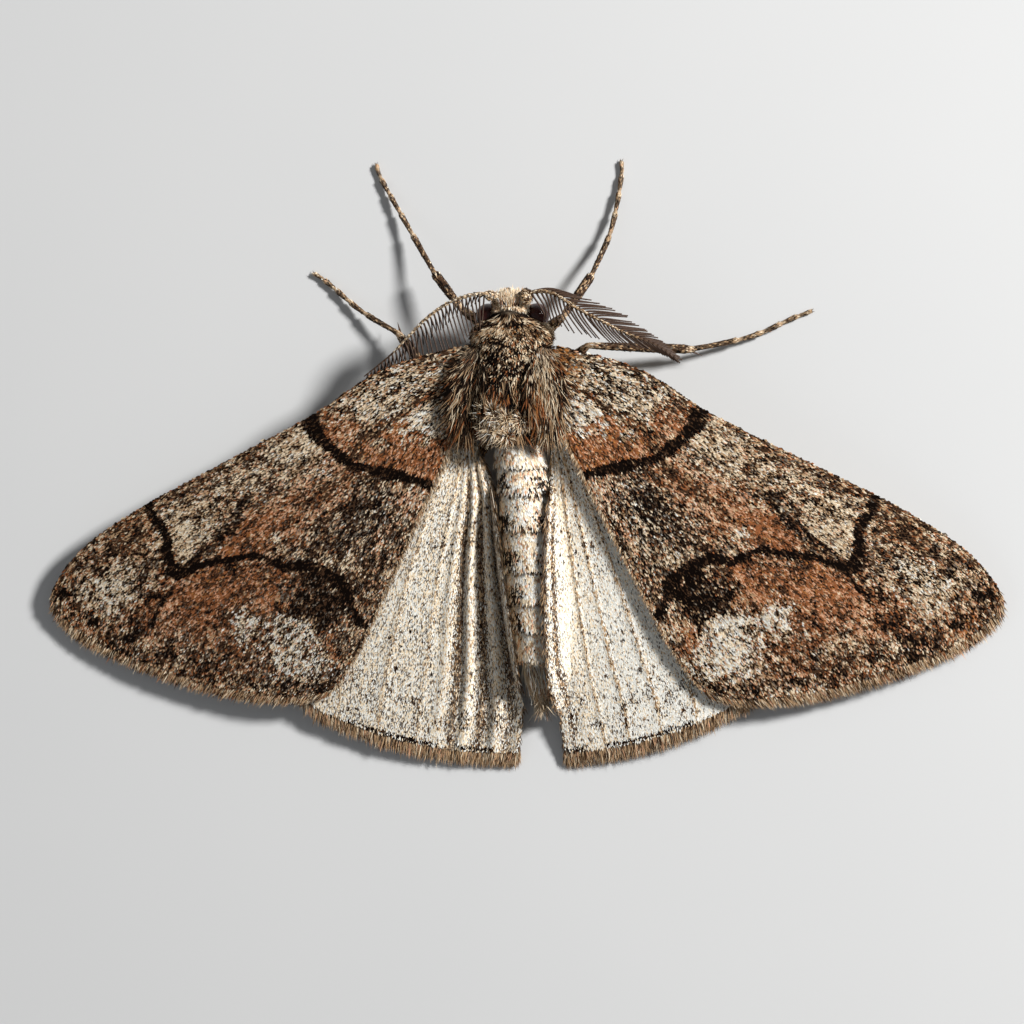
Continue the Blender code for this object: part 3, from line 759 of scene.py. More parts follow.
# Mixtures of the forewing's markings.
PEPPER = mixture(black=0.22, umber=0.28, grey=0.10, rust=0.06, blush=0.05, tan=0.15, cream=0.11, white=0.03)
RUSTY = mixture(black=0.06, umber=0.22, rust=0.46, amber=0.05, blush=0.17, tan=0.04)
RUST_BROWN = mixture(black=0.14, umber=0.42, rust=0.34, blush=0.05, tan=0.05)
ROSY = mixture(black=0.05, umber=0.14, rust=0.34, blush=0.30, tan=0.08, cream=0.09)
PINK = mixture(black=0.08, umber=0.12, rust=0.16, blush=0.30, tan=0.08, cream=0.18, white=0.08)
FROSTED = mixture(black=0.06, umber=0.03, grey=0.12, blush=0.03, tan=0.08, cream=0.33, white=0.35)
CLOUDY = mixture(black=0.52, umber=0.21, grey=0.13, tan=0.05, cream=0.06, white=0.03)
SOOTY = mixture(black=0.84, umber=0.15, tan=0.01)
SMOKY = mixture(black=0.67, umber=0.20, grey=0.05, tan=0.06, cream=0.02)
BROWN = mixture(black=0.24, umber=0.48, rust=0.13, tan=0.12, cream=0.03)
FLECKED = mixture(black=0.26, umber=0.13, grey=0.09, tan=0.16, cream=0.24, white=0.12)
CREAMY = mixture(black=0.12, umber=0.15, grey=0.09, tan=0.27, cream=0.31, white=0.06)
SHADED = mixture(black=0.66, umber=0.26, grey=0.05, tan=0.03)
# Painted shade, for the rear part of the left forewing, which is turned from the light.
LEFT_SHADE_PAINT = mixture(black=0.28, umber=0.52, grey=0.20)
AMBERY = mixture(amber=0.7, umber=0.2, tan=0.1)

# How far the markings of each forewing sit from the mean of the two: (outwards, forwards).
MARK_SHIFT = {-1: (0.18, -0.10), 1: (-0.36, 0.17)}


def forewing_marks(side):
    """Gives the function for one forewing's upper side, x counted outwards from the middle of the moth."""
    return lambda x, y, u, v: forewing_shares(side, x - MARK_SHIFT[side][0], y - MARK_SHIFT[side][1], u, v)


def forewing_shares(side, x, y, u, v):
    """Pigment shares of a forewing's upper side; the right one has an amber patch at its root, and the
    left one has painted shade towards its rear edge, which is turned from the light. The places are first
    moved a little by clouds, so that no border is smooth."""
    line_x, line_y = x + 0.05 * mottle(x, y, 0.3, 61), y + 0.05 * mottle(x, y, 0.3, 62)
    inner, _ = line_at(line_x, line_y, INNER_LINE)
    outer, _ = line_at(line_x, line_y, OUTER_LINE)
    past, between = outer > 0, (inner > 0) & (outer <= 0)
    base = inner <= 0
    black_lines = stroke(line_x, line_y, INNER_LINE) + stroke(line_x, line_y, OUTER_LINE)
    x = x + 0.28 * mottle(x, y, 0.75, 63) + 0.10 * mottle(x, y, 0.25, 64)
    y = y + 0.28 * mottle(x, y, 0.75, 65) + 0.10 * mottle(x, y, 0.25, 66)
    ragged = 1 + 0.3 * mottle(x, y, 0.28, 6)
    rust_breadth = np.interp(x, (2.5, 4.6, 6.2), (2.40, 1.90, 1.10))
    in_rust_band = np.clip((inner + rust_breadth * ragged) / 0.5, 0, 1)
    dashes = bell((v * 8.0 + 0.15) % 1.0, 0.5, 0.26)
    # Each row is a mixture and its strength: 1 hides what lies under it.
    layers = (
        # the base, up to the inner line
        (FLECKED, 0.95 * base * spot(x, y, (4.9, 2.6), (2.3, 1.3), -0.45, 1.5)),
        (FROSTED, 0.80 * base * ragged * spot(x, y, (3.7, 1.9), (1.1, 0.75), -0.4, 1.5)),
        (RUSTY, 0.97 * base * in_rust_band * np.clip((6.6 - x) / 0.8, 0, 1)),
        (RUST_BROWN, 0.90 * base * spot(x, y, (7.2, 1.6), (1.1, 0.8), 0.6, 1.5)),
        (ROSY, 0.8 * base * spot(x, y, (6.75, 0.95), (0.5, 0.5), 0.6)),
        (AMBERY, 0.8 * (side > 0) * spot(x, y, (2.6, 4.2), (0.6, 0.42), -0.5)),
        # between the lines
        (CREAMY, 0.85 * between * spot(x, y, (8.8, 0.9), (1.4, 0.6), -0.55, 1.4)),
        (PINK, 0.8 * between * spot(x, y, (7.5, 0.1), (0.6, 0.35), -0.6)),
        (CREAMY, 0.6 * between * spot(x, y, (10.8, -0.5), (1.9, 0.45), -0.5)),
        (CLOUDY, 0.95 * between * ragged * spot(x, y, (6.0, -2.2), (1.2, 2.0), 0.55, 1.6)),
        (PINK, between * (0.85 * spot(x, y, (3.9, -1.4), (0.35, 0.9), 0.42)
                          + 0.7 * spot(x, y, (5.3, -3.1), (0.3, 0.8), 0.5))),
        (ROSY, 0.8 * between * spot(x, y, (7.3, -0.7), (0.9, 0.5), -0.6)),
        (ROSY, 0.95 * between * ragged * spot(x, y, (9.4, -2.1), (1.7, 0.95), -0.6, 1.5)),
        (RUSTY, 0.95 * between * ragged * spot(x, y, (11.0, -2.95), (1.7, 0.75), -0.4, 1.6)),
        (FROSTED, 0.8 * between * spot(x, y, (9.85, -3.3), (0.38, 0.25))),
        (SHADED, 0.8 * between * (spot(x, y, (4.55, -2.9), (0.18, 0.4), 0.4)
                                  + spot(x, y, (4.9, -3.7), (0.16, 0.3), 0.4))),
        (CREAMY, 0.8 * between * spot(x, y, (7.2, -3.8), (0.9, 0.4), 0.3)),
        (CREAMY, 0.95 * between * ragged * spot(x, y, (13.8, -2.5), (0.95, 1.35), 0.25, 2.0)),
        (SHADED, 0.85 * between * stroke(x, y, WEDGE, 0.25)),
        # beyond the outer line
        (RUST_BROWN, 0.75 * past * spot(x, y, (12.6, -6.6), (3.6, 2.4), -0.3, 2.5)),
        (RUSTY, 0.95 * past * ragged * (spot(x, y, (10.0, -4.95), (1.0, 0.95), 0.3, 1.5)
                                        + spot(x, y, (12.9, -5.2), (1.9, 0.95), -0.4, 1.6))),
        (ROSY, 0.85 * past * spot(x, y, (14.5, -6.4), (1.0, 1.0), -0.8, 1.5)),
        (RUSTY, 0.85 * past * spot(x, y, (7.55, -7.2), (0.45, 0.75), 0.5)),
        (CREAMY, 0.6 * past * spot(x, y, (14.4, -7.8), (1.7, 0.55), 0.15)),
        (CLOUDY, 0.6 * past * (spot(x, y, (12.6, -7.8), (0.5, 0.45))
                               + spot(x, y, (14.0, -7.2), (0.45, 0.4)))),
        (FROSTED, 1.0 * past * ragged * spot(x, y, (9.3, -7.4), (1.25, 1.35), 0.3, 2.2)),
        (FROSTED, 0.98 * past * ragged * spot(x, y, (11.4, -6.5), (0.75, 0.8), 0.4, 1.8)),
        (FROSTED, 0.7 * past * spot(x, y, (8.2, -8.4), (0.8, 0.45))),
        (BROWN, 0.75 * past * spot(x, y, (16.6, -3.2), (1.9, 0.8), -0.5, 1.5)),
        (RUST_BROWN, 0.65 * past * spot(x, y, (15.55, -5.7), (0.50, 2.0), 0.72, 2.0)),
        (FLECKED, 0.80 * past * ragged * spot(x, y, (17.2, -5.0), (1.35, 0.95), -0.5, 1.8)),
        (RUSTY, 0.6 * past * spot(x, y, (18.7, -6.6), (1.2, 0.8), 0.3)),
        (CREAMY, 0.6 * past * spot(x, y, (18.3, -5.9), (0.7, 0.6), -0.5)),
        # lines, veins and edges
        (BROWN, 0.42 * sum(bell(v, at, 0.005) for at, _ in FOREWING_VEINS) * np.clip(3 * u - 0.8, 0, 1)),
        (BROWN, 0.90 * stroke(x, y, CREASE, 0.18)),
        (SMOKY, 0.97 * past * spot(x, y, (8.15, -5.40), (1.50, 1.15), -0.25, 3.0)),
        (SOOTY, 0.66 * past * ragged * spot(x, y, (7.85, -5.15), (1.2, 0.8), 0.2, 2.0)),
        (SOOTY, 0.75 * past * stroke(x, y, TOOTH_STREAK, 0.08)),
        (SOOTY, 0.50 * past * stroke(x, y, SECOND_STREAK, 0.12)),
        (SOOTY, 0.70 * past * spot(x, y, (17.0, -7.75), (0.55, 0.35), -0.8, 1.5)),
        (SOOTY, 0.9 * bell(u, 0.935, 0.013) * dashes),
        (BROWN, 0.75 * np.clip(1 - v / 0.035, 0, 1)),
        # painted shade: the left forewing darkened towards its rear edge, which is turned from the light
        (LEFT_SHADE_PAINT, 0.32 * (side < 0) * np.clip(2 * v - 0.3, 0, 1) * np.clip(2 * u, 0, 1)),
        (SOOTY, 0.99 * black_lines),
    )
    return clumped(layered(alike(PEPPER, x), *layers), mottle(x + 0.5 * y, y, 0.40, 4), 0.45)


def streaks(u, v):
    """A cloud drawn out along the wing, for the grain of dark and pale scales."""
    return mottle(u * 10.0, v * 12.0, 0.13, 3) + 0.7 * mottle(u * 20.0, v * 12.0, 0.10, 5)


# Mixtures of the hindwing's markings.
ASHEN = mixture(black=0.012, umber=0.022, grey=0.07, tan=0.03, cream=0.13, white=0.735)
# Painted shade in grey, by side: over the whole left hindwing, which is turned from the light, and along the
# right one's fold, whose slope faces the light.
PAINTED_SHADE_GREYS = {-1: mixture(umber=0.05, grey=0.40, cream=0.55), 1: mixture(grey=0.20, cream=0.40, white=0.40)}
STRAW = mixture(umber=0.16, grey=0.05, tan=0.47, cream=0.26, white=0.06)
CREAMY_RIDGE = mixture(tan=0.18, cream=0.44, white=0.38)
DUSKY = mixture(black=0.06, umber=0.44, grey=0.32, tan=0.18)
SPECKLED = mixture(black=0.34, umber=0.48, grey=0.18)
RIDGE_STRENGTH = {-1: 1.0, 1: 0.3}


def hindwing_marks(side):
    """Gives the function for one hindwing's upper side: whitish grey, fine dark specks, tan veins, pleats
    that are pale on top and brown between, and a thin dark line along the rear. Painted shade greys the
    left one all over, as it is turned from the light, and the right one only by its fold, where its slope
    faces the light."""

    def marks(x, y, u, v):
        """Pigment shares at places of the wing."""
        veins = sum(bell(v, at, 0.006) for at, _ in HINDWING_VEINS)
        crests = sum(bell(from_fold(v), at, 0.016) for at, _ in HINDWING_PLEATS[side])
        grooves = sum(bell(from_fold(v), at, GROOVE_WIDTH[side]) for at in HINDWING_GROOVES[side])
        grooves = grooves * np.clip(u * 3, 0, 1)
        specks = np.clip(6 * (mottle(x, y, 0.10, 11) - 1.17 + 0.22 * u + 0.25 * mottle(x, y, 0.9, 12)), 0, 1)
        shares = layered(
            alike(ASHEN, x),
            (STRAW, 0.40 * bell(u, 0.1, 0.25)),
            # painted shade: grey along the right hindwing's fold, toning down its lit slope
            (PAINTED_SHADE_GREYS[1], 0.75 * (side > 0) * bell(from_fold(v), 0.10, 0.10)),
            (STRAW, 0.85 * veins),
            # painted shade: grey over the whole left hindwing, which is turned from the light
            (PAINTED_SHADE_GREYS[-1], 0.42 * (side < 0)),
            (CREAMY_RIDGE, 0.8 * crests * RIDGE_STRENGTH[side]),
            (DUSKY, 0.95 * grooves * (1 - 0.6 * u**6)),
            (SPECKLED, specks),
            (SPECKLED, 0.30 * bell(u, 0.86, 0.05) * (mottle(x, y, 0.35, 13) > 0.1)),
            (SOOTY, 0.85 * bell(u, 0.948, 0.006) * (mottle(x, y, 0.8, 15) > -0.5)),
        )
        return clumped(shares, mottle(x, y, 0.22, 14), 0.25)

    return marks


def underside_marks(x, y, u, v):
    """Pigment shares of the undersides: pale grey-brown with dark flecks and a darker rim."""
    pale = mixture(black=0.06, umber=0.10, grey=0.22, tan=0.26, cream=0.24, white=0.12)
    edges = ((DUSKY, 0.5 * bell(u, 0.93, 0.05)), (DUSKY, 0.3 * bell(v, 0, 0.06)))
    return clumped(layered(alike(pale, x), *edges), mottle(x, y, 0.3, 21), 0.9)


# How often a fringe turns darker, and its lighter and darker mixture.
FRINGE_CHECKS = 9
FRINGES = {
    "forewing": (
        mixture(umber=0.24, grey=0.05, rust=0.05, blush=0.08, tan=0.38, cream=0.20),
        mixture(black=0.2, umber=0.5, tan=0.3),
    ),
    "hindwing": (
        mixture(umber=0.22, grey=0.06, blush=0.10, tan=0.44, cream=0.18),
        mixture(umber=0.50, grey=0.10, tan=0.40),
    ),
}


def fringe_marks(which, v):
    """Pigment shares of a fringe: lighter and darker in turn between the veins."""
    light, dark = FRINGES[which]
    return layered(alike(light, v), (dark, 0.5 * bell((v * FRINGE_CHECKS) % 1.0, 0.5, 0.25)))


def trunk_marks(x, y, z):
    """Pigment shares of the trunk: pale head, dark neck line, tan collar with a dark band behind it, black
    and cream thorax with a few rust spots, and a pale abdomen with dark joints and dark spots along its
    sides."""
    middle, centre, half_width, half_height = trunk_at(y)
    across = np.clip((x - middle) / half_width, -1, 1)
    above = np.clip((z - centre) / half_height, -1, 1)
    head = mixture(umber=0.04, tan=0.24, cream=0.56, white=0.10, blush=0.06)
    collar = mixture(black=0.18, umber=0.21, rust=0.04, amber=0.03, tan=0.36, cream=0.18)
    shaggy = mixture(black=0.52, umber=0.13, rust=0.04, tan=0.15, cream=0.16)
    silky = mixture(black=0.12, umber=0.24, rust=0.08, tan=0.38, cream=0.18)
    combed = mixture(black=0.24, umber=0.30, rust=0.14, amber=0.03, tan=0.22, cream=0.08)
    belly = mixture(umber=0.10, grey=0.12, tan=0.30, cream=0.32, white=0.16)
    pale = mixture(black=0.01, umber=0.02, grey=0.03, blush=0.10, tan=0.08, cream=0.38, white=0.38)
    curve = y + 0.35 * across**2
    breaks = sum(bell(y, at + 0.04, 0.045) for at in ABDOMEN_BREAKS)
    rust = mixture(rust=0.6, amber=0.2, umber=0.2)
    dark_rust = mixture(rust=0.6, amber=0.15, umber=0.25)
    flanks = bell(np.abs(across), 0.75, 0.34) * (above > 0)
    spots = sum(bell(y, at + 0.42, 0.36) for at in ABDOMEN_BREAKS[2:7]) * flanks
    back = above > 0.1
    bands = (
        (collar, np.clip((6.35 - curve) * 8, 0, 1)),
        (mixture(black=0.8, umber=0.2), bell(curve, 6.33, 0.10) * (above > 0)),
        (mixture(black=0.84, umber=0.16), (0.86 - 0.20 * across) * bell(curve, 5.93, 0.13) * (above > 0)),
        (shaggy, np.clip((5.58 - curve) * 6, 0, 1)),
        (silky, 0.85 * np.clip((np.abs(across) - 0.70) * 6, 0, 1) * np.clip((y - 4.2) * 2, 0, 1) * (y < 6.1)),
        (combed, 0.75 * np.clip((3.9 - y) * 1.2, 0, 1)),
        (rust, 0.85 * bell(y, 2.5, 0.3) * bell(across, 0.85, 0.25) * back),
        (dark_rust, 0.9 * bell(y, 2.95, 0.28) * bell(across, -0.12, 0.20) * back),
        (pale, np.clip((0.95 - y) * 8, 0, 1)),
        (mixture(black=0.6, umber=0.4), 0.85 * breaks * (y < 0.7)),
        (SOOTY, 0.85 * spots),
        (mixture(umber=0.08, tan=0.45, cream=0.40, blush=0.07), np.clip((-8.3 - y) * 2, 0, 1)),
        (belly, np.clip((-0.25 - above) * 4, 0, 1)),
    )
    shares = layered(alike(head, x), *bands)
    return clumped(shares, mottle(x * 1.3, y, 0.22, 31), 0.45)


# Where along each part of a leg its pale bands sit.
LEG_BANDS = {"coxa": (), "femur": (0.97,), "tibia": (0.02, 0.97), "tarsus": (0.36, 0.56, 0.73, 0.87, 0.98)}


def leg_marks(part, share):
    """Pigment shares of a leg: dark scales with a pale band at the end of each length."""
    dark = mixture(black=0.34, umber=0.44, grey=0.04, tan=0.15, cream=0.03)
    light = mixture(umber=0.12, tan=0.50, cream=0.30, white=0.02, blush=0.06)
    band = np.zeros(len(share))
    for name, places in LEG_BANDS.items():
        width = 0.035 if name == "tarsus" else 0.06
        for at in places:
            band = np.maximum(band, (part == name) * bell(share, at, width))
    mottled = (part == "coxa") * 0.6 + (part == "femur") * 0.35
    return layered(alike(dark, share), (light, band), (light, mottled))


# ---------------------------------------------------------------- finishes


class Wire:
    """A socket of a finish under construction; sums, differences and products add their Math nodes."""

    def __init__(self, finish, socket):
        self.finish = finish
        self.socket = socket

    def _math(self, operation, first, second):
        """A Math node of one operation on two wires or numbers."""
        return self.finish.add("ShaderNodeMath", {"operation": operation}, {0: first, 1: second})

    def __add__(self, other):
        return self._math("ADD", self, other)

    def __radd__(self, other):
        return self._math("ADD", other, self)

    def __sub__(self, other):
        return self._math("SUBTRACT", self, other)

    def __rsub__(self, other):
        return self._math("SUBTRACT", other, self)

    def __mul__(self, other):
        return self._math("MULTIPLY", self, other)

    def __rmul__(self, other):
        return self._math("MULTIPLY", other, self)


class Finish:
    """A material under construction around one Principled shader."""

    def __init__(self, name, **constants):
        """Starts a material with plain numbers on the shader; `_` stands for a space in a socket's name."""
        self.material = bpy.data.materials.new(name)
        self.material.use_nodes = True
        self.tree = self.material.node_tree
        self.shader = self.tree.nodes["Principled BSDF"]
        for socket, value in constants.items():
            self.shader.inputs[socket.replace("_", " ")].default_value = value

    def add(self, kind, settings=None, inputs=None, output=0):
        """A node of any kind: its settings first, then the values or wires of its sockets."""
        node = self.tree.nodes.new(kind)
        for name, value in (settings or {}).items():
            if name == "stops":
                self._set_stops(node.color_ramp, value)
            elif name == "interpolation":
                node.color_ramp.interpolation = value
            else:
                setattr(node, name, value)
        for socket, value in (inputs or {}).items():
            self.feed(node.inputs[socket], value)
        return Wire(self, node.outputs[output])

    def feed(self, socket, value):
        """Joins a wire to a socket, or sets the socket to a plain value."""
        if isinstance(value, Wire):
            self.tree.links.new(value.socket, socket)
        else:
            socket.default_value = value

    def _set_stops(self, ramp, stops):
        """Gives a ramp its stops, each a place and a colour."""
        while len(ramp.elements) < len(stops):
            ramp.elements.new(0.5)
        for element, (at, colour) in zip(ramp.elements, stops):
            element.position = at
            element.color = (*colour, 1.0)

    def mark(self, name, output="Fac"):
        """A value or colour that a piece carries at each of its points."""
        return self.add("ShaderNodeAttribute", {"attribute_name": name}, output=output)

    def place(self):
        """The point's own place on the piece, in metres."""
        return self.add("ShaderNodeTexCoord", output="Object")

    def noise(self, scale, detail=2.0):
        """Smooth noise between 0 and 1, with `scale` waves to the metre."""
        return self.add("ShaderNodeTexNoise", {}, {"Vector": self.place(), "Scale": scale, "Detail": detail})

    def scaled(self, colour, factor):
        """A colour made lighter or darker by a wire."""
        return self.add("ShaderNodeVectorMath", {"operation": "SCALE"}, {0: colour, "Scale": factor})

    def mixed(self, factor, first, second):
        """One colour into another; sockets 6 and 7 of the Mix node hold the colours."""
        return self.add("ShaderNodeMix", {"data_type": "RGBA"}, {0: factor, 6: first, 7: second}, output=2)

    def bump(self, height, strength, distance):
        """Fine relief from a height wire; `distance` is its depth in metres."""
        sockets = {"Height": height, "Strength": strength, "Distance": distance}
        normal = self.add("ShaderNodeBump", {}, sockets)
        self.tree.links.new(normal.socket, self.shader.inputs["Normal"])

    def colour(self, wire):
        """Gives the shader its colour and hands over the finished material."""
        self.tree.links.new(wire.socket, self.shader.inputs["Base Color"])
        return self.material


# Waves to the metre of the fine patterns.
SCALE_GRAIN, SKIN_GRAIN, HORN_GRAIN = 45000.0, 14000.0, 9000.0
EYE_LENSES, EYE_CLOUD, FLOOR_CLOUD = 30000.0, 2200.0, 60.0


def scale_finish(name, roughness=0.5, root_shade=0.62, gloss=0.12):
    """Single-coloured scales: the pigment is read from a stepped ramp, darker at the root, with a faint
    silky gloss and streaks finer than a scale."""
    finish = Finish(name, Roughness=roughness, Specular_IOR_Level=gloss)
    count = len(PIGMENT_NAMES)
    stops = [(i / count, colour) for i, colour in enumerate(PIGMENTS.values())]
    steps = {"interpolation": "CONSTANT", "stops": stops}
    pigment = finish.add("ShaderNodeValToRGB", steps, {0: finish.mark("pigment")})
    tip = finish.mark("tipness")
    depth = root_shade + (1 - root_shade) * tip * tip
    grain = 0.86 + 0.28 * finish.noise(SCALE_GRAIN)
    return finish.colour(finish.scaled(pigment, finish.mark("shade") * depth * grain))


def skin_finish(name, roughness=0.62, darkness=0.7):
    """Skin under the scales: the same markings, mottled and a little darker, with fine pitting."""
    finish = Finish(name, Roughness=roughness, Specular_IOR_Level=0.1)
    grain = finish.noise(SKIN_GRAIN, 3.0)
    finish.bump(grain, 0.5, 0.00003)
    return finish.colour(finish.scaled(finish.mark("marking", "Color"), darkness * (0.5 + grain)))


def horn_finish(name, dark, light, roughness=0.42):
    """Bare horn of feelers, claws and spurs: two browns in fine streaks."""
    finish = Finish(name, Roughness=roughness, Specular_IOR_Level=0.28)
    grain = finish.noise(HORN_GRAIN, 3.0)
    finish.bump(grain, 0.4, 0.00002)
    return finish.colour(finish.mixed(grain, (*dark, 1.0), (*light, 1.0)))


def eye_finish():
    """A compound eye: dark red-brown facets, each a small lens, under a clear gloss."""
    finish = Finish("eye_facets", Roughness=0.16, Specular_IOR_Level=0.4)
    sockets = {"Vector": finish.place(), "Scale": EYE_LENSES}
    lenses = finish.add("ShaderNodeTexVoronoi", {"feature": "F1"}, sockets)
    finish.bump(1 - lenses, 0.25, 0.00002)
    cloud = finish.noise(EYE_CLOUD)
    return finish.colour(finish.mixed(cloud, (0.012, 0.003, 0.0025, 1.0), (0.070, 0.015, 0.011, 1.0)))


def floor_finish():
    """A plain pale, matt floor."""
    finish = Finish("floor_pale", Roughness=0.85, Specular_IOR_Level=0.2)
    tone = finish.noise(FLOOR_CLOUD)
    return finish.colour(finish.mixed(tone, (0.595, 0.605, 0.615, 1.0), (0.625, 0.632, 0.640, 1.0)))


# ---------------------------------------------------------------- chance, colours and counts

RNG = np.random.default_rng(7)
PALETTE = np.array(list(PIGMENTS.values()))
PORTION = 1.0


def number(count):
    return int(count * PORTION)


# ---------------------------------------------------------------- wings

# Where the skin starts and ends: the shares of the wing's length, and of its breadth.
SKIN_START = 0.004
WING_SPANS = {
    "forewing": ((SKIN_START, 0.968), (SKIN_START, 0.975)),
    "hindwing": ((SKIN_START, 0.955), (SKIN_START, 0.995)),
}
WING_SKIN, SCALE_CLEARANCE, HIDDEN_RIM = 0.14, 0.006, 0.7
# How many scales above, scales below, fringe hairs and inner edge hairs a wing has.
WING_COUNTS = {"forewing": (47000, 8500, 9000, 1800), "hindwing": (64000, 8500, 9000, 900)}
# (length, width, lift of the tip) of the scales above and below.
TOP_SCALE = {"forewing": (0.17, 0.082, 0.007), "hindwing": (0.18, 0.085, 0.006)}
UNDER_SCALE = (0.26, 0.13, 0.03)
FRINGE_REACH, FRINGE_LENGTHS = {"forewing": 0.66, "hindwing": 0.80}, (0.55, 0.8, 1.0)
# (length, slant) of the hairs along the inner edge.
EDGE_HAIR = {"forewing": (0.26, 0.7), "hindwing": (0.5, 0.05)}
EDGE_SHADES = {
    "forewing": mixture(umber=0.24, grey=0.06, tan=0.44, cream=0.22, rust=0.04),
    "hindwing": mixture(umber=0.40, grey=0.35, tan=0.25),
}
WING_SKIN_FINISH = skin_finish("wing_skin")
WING_SCALES = {
    "forewing": scale_finish("forewing_scales", roughness=0.8, root_shade=0.55, gloss=0.02),
    "hindwing": scale_finish("hindwing_scales", roughness=0.8, root_shade=0.9, gloss=0.03),
}
FRINGE_FINISH = scale_finish("fringe_hair", roughness=0.8, root_shade=0.7, gloss=0.03)


def covered(x, y):
    """Where the forewing hides the hindwing, with a rim left over."""
    inner_margin, outer_margin = np.array(FOREWING_MARGIN[11:]), np.array(FOREWING_MARGIN[6:12][::-1])
    inner = np.interp(y, inner_margin[:, 1], inner_margin[:, 0])
    back = np.interp(x, outer_margin[:, 0], outer_margin[:, 1])
    return (x > inner + HIDDEN_RIM) & (y > back + HIDDEN_RIM)


def wing_skin(name, which, surface, marks):
    """The wing's thin skin, marked above and below."""
    points, faces, u, v = closed_sheet(surface, 90, 170, WING_SKIN, *WING_SPANS[which])
    upper = marks(np.abs(points[:, 0]), points[:, 1], u, v)
    lower = underside_marks(np.abs(points[:, 0]), points[:, 1], u, v)
    shares = np.where((np.arange(len(u)) < len(u) // 2)[:, None], upper, lower)
    add_piece(name + "_skin", points, faces, WING_SKIN_FINISH, which, (name,), colour=shares @ PALETTE)


def wing_scales(name, which, surface, marks, face, count, size):
    """The scales of one face of a wing, 1 above and -1 below; they lie flatter at the front edge. Above,
    the hindwing has none where the forewing hides it."""
    u, v = spread(surface, number(count), *WING_SPANS[which])
    x, y = surface(u, v)[:, :2].T
    if which == "hindwing" and face > 0:
        shown = ~covered(np.abs(x), y)
        u, v, x, y = u[shown], v[shown], x[shown], y[shown]
    length, width, lift = size
    lift = lift * np.clip(v / 0.05, 0.15, 1)
    sizes = (varied(len(u), length, 0.16), varied(len(u), width, 0.16), lift * varied(len(u), 1.0, 0.35))
    shares = marks(np.abs(x), y, u, v)
    cloud = streaks(u, v) if which == "forewing" else None
    coat(name, WING_SCALES[which], which, kites, surface, u, v, (0, 0, face), shares, sizes, 0.14,
         WING_SKIN / 2 + SCALE_CLEARANCE, 0.0, cloud)


def wing_fringe(name, which, surface, count):
    """The fringe along the outer rim: narrow scales of three lengths, shorter near the wing's tip."""
    (_, rim), (_, rear) = WING_SPANS[which]
    v = SKIN_START + RNG.random(number(count)) * (rear - SKIN_START)
    u = rim - 0.014 + RNG.random(len(v)) * 0.016
    reach = FRINGE_REACH[which] * np.clip(v * 14 + 0.45, 0.45, 1) * RNG.choice(FRINGE_LENGTHS, len(v))
    sizes = (reach * RNG.normal(1, 0.12, len(v)), varied(len(v), 0.036, 0.2), RNG.normal(0.0, 0.05, len(v)))
    shares = fringe_marks(which, v)
    coat(name, FRINGE_FINISH, which, kites, surface, u, v, (0, 0, 1), shares, sizes, 0.14)


def edge_hair(name, which, surface, count, side):
    """Narrow scales along the inner edge, shorter towards the rim and slanting over the edge."""
    _, (_, rear) = WING_SPANS[which]
    u = 0.06 + RNG.random(number(count)) * 0.9
    v = rear - 0.012 + RNG.random(len(u)) * 0.012
    long, aslant = EDGE_HAIR[which]
    lengths = varied(len(u), long, 0.25) * (1.15 - 0.5 * u)
    sizes = (lengths, varied(len(u), 0.032, 0.2), RNG.normal(0.02, 0.03, len(u)))
    shares = alike(EDGE_SHADES[which], u)
    coat(name, FRINGE_FINISH, which, kites, surface, u, v, (0, 0, 1), shares, sizes, 0.2, WING_SKIN / 3,
         -side * aslant)


def wing(side, word, which, marks):
    """One wing: its thin skin, the scales of both faces, the fringe and the hairs of the inner edge."""
    surface = forewing_surface(side) if which == "forewing" else hindwing_surface(side)
    name = f"{which}_{word}"
    top_count, under_count, fringe_count, edge_count = WING_COUNTS[which]
    wing_skin(name, which, surface, marks)
    wing_scales(name + "_scales", which, surface, marks, 1, top_count, TOP_SCALE[which])
    wing_scales(name + "_under_scales", which, surface, underside_marks, -1, under_count, UNDER_SCALE)
    wing_fringe(name + "_fringe", which, surface, fringe_count)
    edge_hair(name + "_edge_hair", which, surface, edge_count, side)


for side, word in SIDES:
    wing(side, word, "forewing", forewing_marks(side))
    wing(side, word, "hindwing", hindwing_marks(side))

# ---------------------------------------------------------------- trunk

BODY_SKIN_FINISH = skin_finish("body_skin", roughness=0.7, darkness=0.6)
BODY_SCALES = scale_finish("abdomen_scales", roughness=0.55, root_shade=0.75)
HAIR_FINISH = scale_finish("hair_scales", roughness=0.7, root_shade=0.36, gloss=0.05)
HEAD_FINISH = scale_finish("head_scales", roughness=0.55, root_shade=0.85)
THORAX_FINISH = scale_finish("thorax_scales", roughness=0.7, root_shade=0.45, gloss=0.04)
# Scales in the fringe at each joint of the abdomen.
JOINT_FRINGE = 420
# How light the skin is under the coat, as painted shade and light: darker under the thorax's scales and
# hair, where shade falls between the tufts, and lighter under the head and abdomen, so that their gaps look
# lit: (places along Y, shares of its markings' colour).
SKIN_PAINTED_SHADE_AND_LIGHT = ((0.6, 1.1, 6.15, 6.4), (1.25, 0.4, 0.4, 1.25))


def trunk_u(y):
    """The share of the trunk's surface at a place along Y."""
    return (TRUNK_FRONT - y) / (TRUNK_FRONT - TRUNK_BACK)


def outward(points):
    """Vectors from the trunk's middle line to the points."""
    middle, centre, _, _ = trunk_at(points[:, 1])
    return np.stack([points[:, 0] - middle, 0.1 * (points[:, 1] > 7.0), points[:, 2] - centre], -1)


